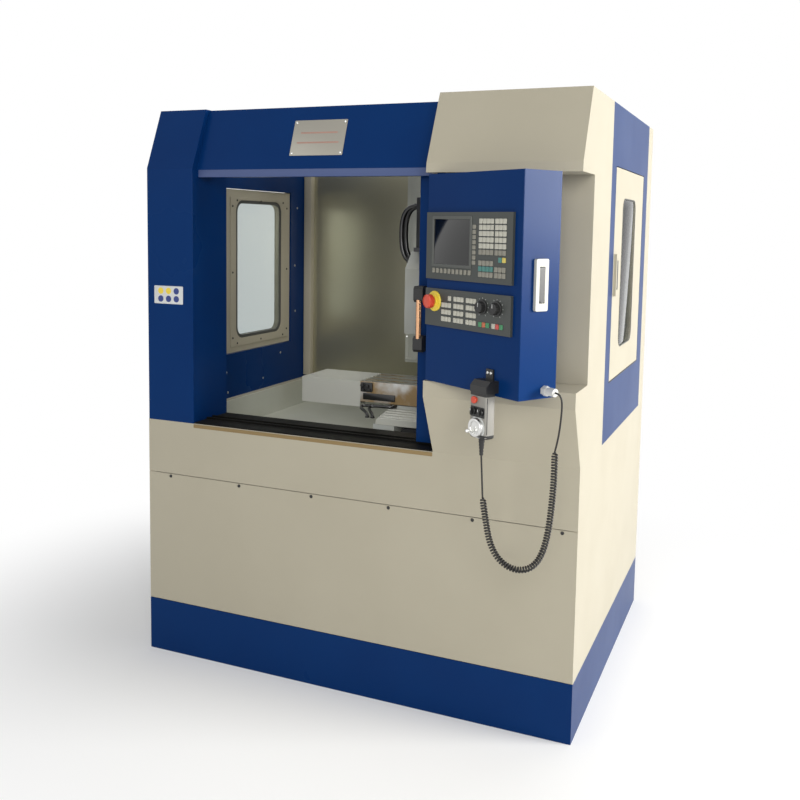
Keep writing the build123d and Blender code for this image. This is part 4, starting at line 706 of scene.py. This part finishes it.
# %% Buttons and knobs
stop_collar = piece("stop_collar", "console", stop_yellow, lambda sketch: turned(
    sketch, console_face(50, face_deep, 1298),
    [(29, 0), (29, 2.6), (28, 3.8), (18, 4.4), (16.4, 5.4), (16, 8.4), (15.2, 9), (12, 9)], 48))
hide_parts("estop_collar")
stop_head = piece("stop_head", "estop_button", stop_red, lambda sketch: turned(
    sketch, console_face(50, face_deep, 1298),
    [(11, 5), (11, 13.8), (18.6, 14.2), (19.8, 15.6), (20, 18), (19.8, 26), (18.4, 29.4), (15, 31.2), (9, 31.9),
     (0.5, 32)], 48))
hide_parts("estop_button")

for across, body in ((258, "spindle_override_knob"), (316, "feed_override_knob")):
    knob = piece(body + "_cap", body, black_plastic, lambda sketch, across=across: (
        turned(sketch, console_face(across, face_deep, 1297),
               [(19.8, 0.3), (20, 1), (19.6, 3.6), (17, 4.6)], 48),
        turned(sketch, console_face(across, face_deep, 1297),
               [(16.2, 4.4), (15.6, 14), (14.8, 16.2), (13.4, 17), (0.5, 17)], 96, 12, 1.3)))
    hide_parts(body)
    piece(body + "_pointer", body, label_white, lambda sketch, across=across: plate(
        sketch, console_face(across, face_deep - 16.9, 1297 + 7), 1.8, 11, 0.35, 0.6, 0.1))


def draw_ticks(sketch):
    for across in (258, 316):
        for number in range(11):
            angle = math.radians(-150 + 30 * number)
            place = console_face(across, face_deep, 1297) @ Matrix.Rotation(-angle, 4, "Z")
            plate(sketch, place @ Matrix.Translation((0, 0.0242, 0)), 1.0, 3.6, 0.2, 0.3, 0.05)


piece("override_ticks", "console", label_white, draw_ticks)
print("buttons and knobs ready")

# %% [markdown]
# The pendant is two grey half shells with a black seam, between black end caps. The handwheel has a white
# dial ring with fifty ticks, and the two selectors stand on a black plate.

# %% The hand pendant
pendant_mid = -26.5


def pendant_ring(wide, deep, radius, up):
    """A rounded rectangle across the pendant at a level, in the console's own millimetres."""
    return [point + Vector((290, pendant_mid, up - point.z)) for point in oblong(wide, deep, radius, 0)]


console_frame = axes(console_at(0, 0, 0), console_across, (0, 0, 1))


def draw_shell(sketch):
    skin(sketch, console_frame, [pendant_ring(64, 31, 5, 955), pendant_ring(66, 33, 6, 957),
                                 pendant_ring(66, 33, 6, 1072), pendant_ring(64, 31, 5, 1074)])


def draw_caps(sketch):
    skin(sketch, console_frame, [pendant_ring(40, 24, 8, 951.5), pendant_ring(60, 31, 8, 952.5),
                                 pendant_ring(66.4, 33.6, 8, 955.5), pendant_ring(67, 34, 6.4, 962),
                                 pendant_ring(66.6, 33.6, 6.2, 963)])
    skin(sketch, console_frame, [pendant_ring(66.6, 33.6, 6.2, 1066), pendant_ring(67, 34, 6.4, 1067),
                                 pendant_ring(67, 34, 6.4, 1074), pendant_ring(60, 30, 5, 1074.3)])
    boot = Matrix.Translation(console_at(290, pendant_mid, 904))
    rings = []
    for number in range(25):
        share = number / 24
        radius = 4.6 + 4.6 * share ** 1.4 + (0.7 if number % 4 in (1, 2) and number < 20 else 0)
        rings.append((radius, 50 * share))
    turned(sketch, boot, rings, 24)
    bezel(sketch, console_face(290, -37, 1014.5), (66.8, 104, 5, 0, 0), (60, 98, 3, 0, 0), 1.8, 0.5, 3)


shell = piece("pendant_shell", "console", pendant_grey, draw_shell)
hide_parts("pendant_body")
piece("pendant_caps", "console", black_plastic, draw_caps)
piece("selector_plate", "console", black_plastic, lambda sketch: plate(
    sketch, console_face(290, -43, 1023), 56, 28, 0.4, 2, 0.1))

for side, body in ((-15, "pendant_axis_knob"), (15, "pendant_step_knob")):
    knob = piece(body + "_cap", body, black_plastic, lambda sketch, side=side: (
        turned(sketch, console_face(290 + side, -43.3, 1024),
               [(9.8, 0.3), (10, 1), (9.6, 5.4), (8.6, 6.4), (0.5, 6.4)], 40),
        plate(sketch, console_face(290 + side, -49, 1024), 5, 19, 7.2, 2.2, 0.8)))
    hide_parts(body)
    piece(body + "_pointer", body, zinc, lambda sketch, side=side: plate(
        sketch, console_face(290 + side, -56.1, 1029.5), 2.2, 7, 0.4, 0.9, 0.1))

stop = piece("pendant_stop_head", "pendant_estop", stop_red, lambda sketch: turned(
    sketch, console_face(282, -43, 1055),
    [(7, -2), (7, 4), (9.4, 4.2), (10, 5), (10, 8.4), (8.8, 10.2), (6, 10.9), (0.4, 11)], 40))
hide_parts("pendant_estop")


def draw_wheel(sketch):
    hub = console_face(290, -43.3, 982)
    turned(sketch, hub, [(24, 0.2), (25, 1.2), (25, 10.4), (24.2, 11.6), (22.6, 12), (18.4, 12), (17, 11.2),
                         (16.6, 8.4), (6, 8), (5.4, 9), (0.5, 9)], 64)
    crank = Matrix.Rotation(math.radians(35), 4, "Z") @ Matrix.Translation((-0.018, 0, 0))
    turned(sketch, hub @ crank, [(2.6, 7), (2.6, 13), (4.2, 14.5), (5.2, 18), (5.4, 21), (4.8, 24.4), (3, 26.6),
                                 (0.4, 27.4)], 28)


wheel = piece("handwheel", "pendant_wheel", zinc, draw_wheel)
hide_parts("pendant_wheel")
piece("wheel_dial", "console", label_white, lambda sketch: turned(
    sketch, console_face(290, -43, 982), [(29.5, 0), (29.5, 0.1), (29.2, 0.2), (26, 0.2)], 64))


def draw_dial_ticks(sketch):
    for number in range(50):
        place = console_face(290, -43.1, 982) @ Matrix.Rotation(2 * math.pi * number / 50, 4, "Z")
        long = 2.6 if number % 5 == 0 else 1.6
        plate(sketch, place @ Matrix.Translation((0, 0.0290 - long / 2000, 0)), 0.5, long, 0.2, 0.2, 0.05)


def draw_holder_screws(sketch):
    for side in (-6.5, 6.5):
        turned(sketch, console_face(290 + side, -5, 1124),
               [(4.4, 0), (4.4, 1.4), (3.6, 2.6), (1.6, 3.2), (0.4, 3.3)], 24)


piece("dial_ticks", "console", black_plastic, draw_dial_ticks)
piece("holder_screws", "console", zinc, draw_holder_screws)
print("pendant ready")

# %% [markdown]
# Each side door has a raised inner frame held by twelve screws, and a rubber ring round its window. Places on
# a door are counted towards the rear and up, as on the machine itself. The right door's pane lies flush
# with its face, and a flat black strip under the door's lower edge is painted shade for the shadow under the
# leaf.

# %% Side door frames, seals and screws
def door_details(side, body, leaf, window):
    """Inner frame, seals, screws and catch of one side door; leaf and window are (front, rear, low, high)."""
    inner_way, outer_way = ("right", "left") if side == "left" else ("left", "right")
    turn = 1 if inner_way == "right" else -1
    inner_x = -729 if side == "left" else 729
    outer_x = -755 if side == "left" else 755
    middle, up = (window[0] + window[1]) / 2, (window[2] + window[3]) / 2
    wide, high = window[1] - window[0], window[3] - window[2]
    front, rear, low, top = leaf[0] + 62, leaf[1] - 18, leaf[2] + 22, leaf[3] - 30
    frame_mid, frame_up = (front + rear) / 2, (low + top) / 2
    inside, outside = facing(inner_way, inner_x, 0, 0), facing(outer_way, outer_x, 0, 0)

    def draw_frame(sketch):
        bezel(sketch, inside, (rear - front, top - low, 3, turn * frame_mid, frame_up),
              (wide + 20, high + 20, 46, turn * middle, up), 3.8, 0.8)

    def draw_inner_seal(sketch):
        bezel(sketch, inside, (wide + 20, high + 20, 46, turn * middle, up),
              (wide - 4, high - 4, 36, turn * middle, up), 2.6, 0.8)

    def draw_outer_seal(sketch):
        bezel(sketch, outside, (wide + 6, high + 6, 41, -turn * middle, up),
              (wide - 3, high - 3, 36.5, -turn * middle, up), 1.2, 0.5)

    def draw_screws(sketch):
        for share in (0.10, 0.5, 0.90):
            for level in (low + 12, top - 12):
                along = front + share * (rear - front)
                screw(sketch, facing(inner_way, inner_x + turn * 3.7, along, level), 4.4, 2.2)
            for place in (front + 12, rear - 12):
                rise = low + (0.06 + 0.88 * (share - 0.1) / 0.8) * (top - low)
                screw(sketch, facing(inner_way, inner_x + turn * 3.7, place, rise), 4.4, 2.2)

    def draw_catch(sketch):
        plate(sketch, facing(inner_way, inner_x, leaf[0] + 16, 1330), 24, 70, 3.6, 3, 0.6)
        for level in (1344, 1316):
            place = facing(inner_way, inner_x + turn * 3.4, leaf[0] + 16, level)
            turned(sketch, place, [(5, 0), (5, 2), (3, 3)], 20)

    piece(side + "_door_frame", body, cream_enamel, draw_frame)
    piece(side + "_door_inner_seal", body, seal_grey, draw_inner_seal)
    piece(side + "_door_outer_seal", body, seal_grey, draw_outer_seal)
    piece(side + "_door_screws", body, screw_dark, draw_screws)
    piece(side + "_door_catch", body, zinc, draw_catch)


door_details("left", "left_side_door", (402, 920, 1003, 1641), (510, 836, 1065, 1590))
door_details("right", "right_side_door", (402, 965, 1020, 1706), (544, 797, 1117, 1610))


def draw_right_pane(sketch):
    plate(sketch, facing("right", 750.5, 670.5, 1363.5), 249, 489, 3.5, 37, 0.4)


# A flat black strip under the right door's lower edge: painted shade for the shadow under the leaf.
def draw_right_sill_shade(sketch):
    plate(sketch, facing("right", 755, 683.5, 1017), 571, 4, 0.4, 1, 0.2)


right_pane = piece("right_pane", "right_side_door", window_glass, draw_right_pane)
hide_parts("right_door_window")
piece("right_sill_shade", "frame", rubber_black, draw_right_sill_shade)
print("side doors dressed")

# %% [markdown]
# Inside the work space: bright screws on the blue side panel, the cream post in the rear corner, the seam
# and screws of the column's guard, and the plates of the way cover. The way cover is drawn as folded plates
# that overlap, in one fixed piece.

# %% Work space
def draw_panel_screws(sketch):
    for y, z in ((960, 1330), (965, 1130), (840, 960), (430, 930), (700, 870), (440, 850), (980, 1580)):
        turned(sketch, facing("right", -725, y, z), [(4.6, 0), (4.4, 1), (3, 1.8), (0.4, 2.1)], 18)


def draw_corner_post(sketch):
    plate(sketch, facing("front", -704, 1062, 1358), 36, 1040, 26, 3, 1.5)


def draw_guard_trim(sketch):
    plate(sketch, facing("front", -52, 700, 1417.5), 38, 862, 2.4, 0.8, 0.5)
    plate(sketch, facing("front", -58, 700, 998), 46, 5, 11, 1, 0.5)


def draw_guard_screws(sketch):
    for z in (1084, 1310, 1536, 1762):
        screw(sketch, facing("front", -78.5, 700, z), 4.6, 2.8)


piece("panel_screws", "frame", zinc, draw_panel_screws)
piece("corner_post", "frame", cream_enamel, draw_corner_post)
piece("guard_trim", "frame", pale_sheet, draw_guard_trim)
piece("guard_screws", "frame", zinc, draw_guard_screws)

plate_gap = 124.7 / 5
sketch = bmesh.new()
for number in range(5):
    start = 280 + number * plate_gap
    high = 862 - 3 * (4 - number)
    length = plate_gap + (4 if number < 4 else 0)
    half_wide = 135 - 1.2 * (4 - number)
    section = [(-half_wide, 828), (-half_wide, high - 7), (-half_wide + 7, high), (half_wide - 7, high),
               (half_wide, high - 7), (half_wide, 828)]
    rings = []
    for along in (start, start + 1.2, start + length - 1.2, start + length):
        drop = 1.2 if along in (start, start + length) else 0
        rings.append([Vector((x, along, z - drop)) for x, z in section])
    skin(sketch, axes(spot(115, 0, 0), (1, 0, 0), (0, 0, 1)), rings)
bmesh.ops.recalc_face_normals(sketch, faces=sketch.faces)
plates_mesh = bpy.data.meshes.new("way_plates")
sketch.to_mesh(plates_mesh)
sketch.free()
plates_mesh.materials.append(cover_white)
way_plates = bpy.data.objects.new("way_plates", plates_mesh)
bpy.context.scene.collection.objects.link(way_plates)
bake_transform(way_plates)
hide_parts("way_cover")
print("work space dressed")

# %% [markdown]
# The pendant's cord leaves the gland, hangs in a curly stretch and climbs to the pendant. Its route is the
# same list of points as the solid's. A smooth spline through the curly stretch gives a middle line, and
# the wire winds round that line, so the whole cord is one curve with a round section.

# %% The curly cord
lead_route = [
    (441, 90, 1085), (450, 90.5, 1084.5), (457.5, 92, 1079), (461, 94, 1069), (461, 96, 1054),
    (458, 97.5, 1027), (454, 97.5, 992), (449, 95.5, 957), (444, 92, 928),
]
coil_route = [
    (444, 92, 930), (444, 92.5, 869), (442, 91, 807), (437.5, 87.5, 735), (430, 81.5, 677),
    (419, 73, 638), (403, 61, 613), (383, 45.5, 602), (362, 29.5, 603), (343, 14.5, 614),
    (326, 1.5, 635), (313, -8.5, 667), (304, -15.5, 715), (295, -22.5, 789),
]
tail_route = [(292.5, -24.5, 846), (290, -26.5, 903.7)]
wire_radius = 0.0026
coil_radius = 0.0067
turn_pitch = 0.0076
points_per_turn = 14


def spline_curve(name, points, order=3):
    data = bpy.data.curves.new(name, "CURVE")
    data.dimensions = "3D"
    line = data.splines.new("NURBS")
    line.points.add(len(points) - 1)
    for control, place in zip(line.points, points):
        control.co = (*place, 1)
    line.order_u = order
    line.use_endpoint_u = True
    made = bpy.data.objects.new(name, data)
    bpy.context.scene.collection.objects.link(made)
    return made


def points_along(curve):
    curve.data.resolution_u = 12
    bpy.context.view_layer.update()
    line = bpy.data.meshes.new_from_object(curve)
    return [vertex.co.copy() for vertex in line.vertices]


guide = spline_curve("coil_guide", [console_at(*point) for point in coil_route])
middle_line = points_along(guide)
bpy.data.objects.remove(guide)
runs = [(end - start).length for start, end in zip(middle_line, middle_line[1:])]
coil_length = sum(runs)
turns = round(coil_length / turn_pitch)
steps = turns * points_per_turn
winding = []
side = console_inward.copy()
travelled, index = 0.0, 0
for step in range(steps + 1):
    along = coil_length * step / steps
    while index < len(runs) - 1 and travelled + runs[index] < along:
        travelled += runs[index]
        index += 1
    way = (middle_line[index + 1] - middle_line[index]).normalized()
    centre = middle_line[index] + way * (along - travelled)
    side = (side - way * side.dot(way)).normalized()
    angle = 2 * math.pi * step / points_per_turn
    ramp = min(1.0, step / points_per_turn, (steps - step) / points_per_turn)
    winding.append(centre + coil_radius * ramp * (math.cos(angle) * side + math.sin(angle) * way.cross(side)))
whole_route = [console_at(*point) for point in lead_route[:-1]] + winding
whole_route += [console_at(*point) for point in tail_route]
curly_cord = spline_curve("curly_cord", whole_route)
cord_line = points_along(curly_cord)
curly_cord.data.resolution_u = 2
curly_cord.data.bevel_depth = wire_radius
curly_cord.data.bevel_resolution = 2
curly_cord.data.materials.append(rubber_black)
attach(curly_cord, "console")
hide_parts("pendant_cord")

# %% [markdown]
# Hoses are smooth curves with a round section. Two thick ones loop out from the spindle motor to the head,
# and two thin ones hang from the saddle to the bed, so they bend between those two bodies. A black clamp sits
# on the table's front, above the thin hoses, and a black strip below it is painted shade for the recess under
# the table.

# %% Hoses
def hose(name, points, radius, look):
    made = spline_curve(name, [spot(*point) for point in points], 4)
    made.data.resolution_u = 8
    made.data.bevel_depth = radius / 1000
    made.data.bevel_resolution = 4
    made.data.use_fill_caps = True
    made.data.materials.append(look)
    return made


for number, y in enumerate((485, 525)):
    made = hose(f"head_hose_{number}", [
        (52, y, 1580), (30, y, 1582), (2, y, 1574), (-16, y, 1530), (-17, y, 1482),
        (-15, y, 1430), (0, y, 1392), (16, y, 1385), (26, y, 1385)], 8.5, hose_black)
    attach(made, "head")
    if number == 0:
        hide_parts("head_conduit")


def draw_hose_ends(sketch):
    for y in (485, 525):
        for x, z in ((50, 1580), (25, 1385)):
            turned(sketch, facing("left", x, y, z), [(13, 0), (13, 6), (12, 7), (11, 8), (11, 16), (10, 17)], 6)


piece("hose_ends", "head", black_plastic, draw_hose_ends)


def draw_table_clamp(sketch):
    plate(sketch, facing("front", -108, 405, 929), 46, 34, 7, 4, 1.5)
    for across, up, size in ((-122, 936, 8), (-102, 934, 7), (-94, 921, 5.5), (-118, 920, 5.5)):
        place = facing("front", across, 398.6, up)
        turned(sketch, place, [(size, 0), (size, 7), (0.8 * size, 9), (0.5, 9.4)], 6)


# A flat black strip on the table's lower front: painted shade for the shaded recess under the table.
def draw_table_shade(sketch):
    plate(sketch, facing("front", -59.5, 405, 896), 125, 24, 5, 2, 1)


piece("table_clamp", "table", black_plastic, draw_table_clamp)
piece("table_shade", "table", hose_black, draw_table_shade)

for number, (start, across, reach) in enumerate(((-12, -58, -112), (6, -38, -80))):
    made = hose(f"saddle_hose_{number}", [
        (start, 406, 868.5), (start, 392, 868.5), (start - 10, 382, 868.5), (start - 36, 378, 868.5),
        (reach + 16, 376, 868.5), (reach, 370, 867), (reach + 4, 352, 862), (across - 16, 324, 857),
        (across - 4, 308, 853), (across, 303, 848), (across, 303, 841)],
        5.5, hose_black)
    bent = bpy.data.objects.new(f"saddle_hose_bend_{number}", bpy.data.meshes.new_from_object(made))
    bpy.context.scene.collection.objects.link(bent)
    bpy.data.objects.remove(made)
    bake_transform(bent)


def draw_hose_glands(sketch):
    for x in (-12, 6):
        turned(sketch, facing("front", x, 405, 868.5), [(6.2, 0), (6.2, 5), (5.8, 6), (5.8, 12), (5.4, 13)], 6)


def draw_bed_glands(sketch):
    for x in (-58, -38):
        turned(sketch, facing("up", x, 303, 842), [(9, 0), (9, 3), (7.6, 4), (7.2, 6), (6.4, 7)], 6)


piece("hose_glands", "saddle", black_plastic, draw_hose_glands)
piece("bed_glands", "frame", black_plastic, draw_bed_glands)
print("hoses ready")

# %% [markdown]
# The rear door has two fields of vent slots and a flush lock. The slots are flat dark plates, painted shade for
# the openings. They lie in the door's face, because the door is the rearmost surface of the machine.

# %% Rear door
# Each vent slot is a flat dark plate: painted shade for the opening.
def draw_vent_shade(sketch):
    for across in (-250, 250):
        for number in range(8):
            plate(sketch, facing("rear", across, 1167, 1030 + 22 * number), 180, 7, 0.15, 3.4, 0.05)


def draw_rear_lock(sketch):
    plate(sketch, facing("rear", -400, 1167, 1350), 34, 96, 0.15, 8, 0.05)
    turned(sketch, facing("rear", -400, 1167.1, 1376), [(10, 0), (10, 0.1), (9, 0.2), (3, 0.2)], 32)


piece("rear_vent_shade", "cabinet_door", sill_black, draw_vent_shade)
piece("rear_lock", "cabinet_door", zinc, draw_rear_lock)
print("rear door dressed")
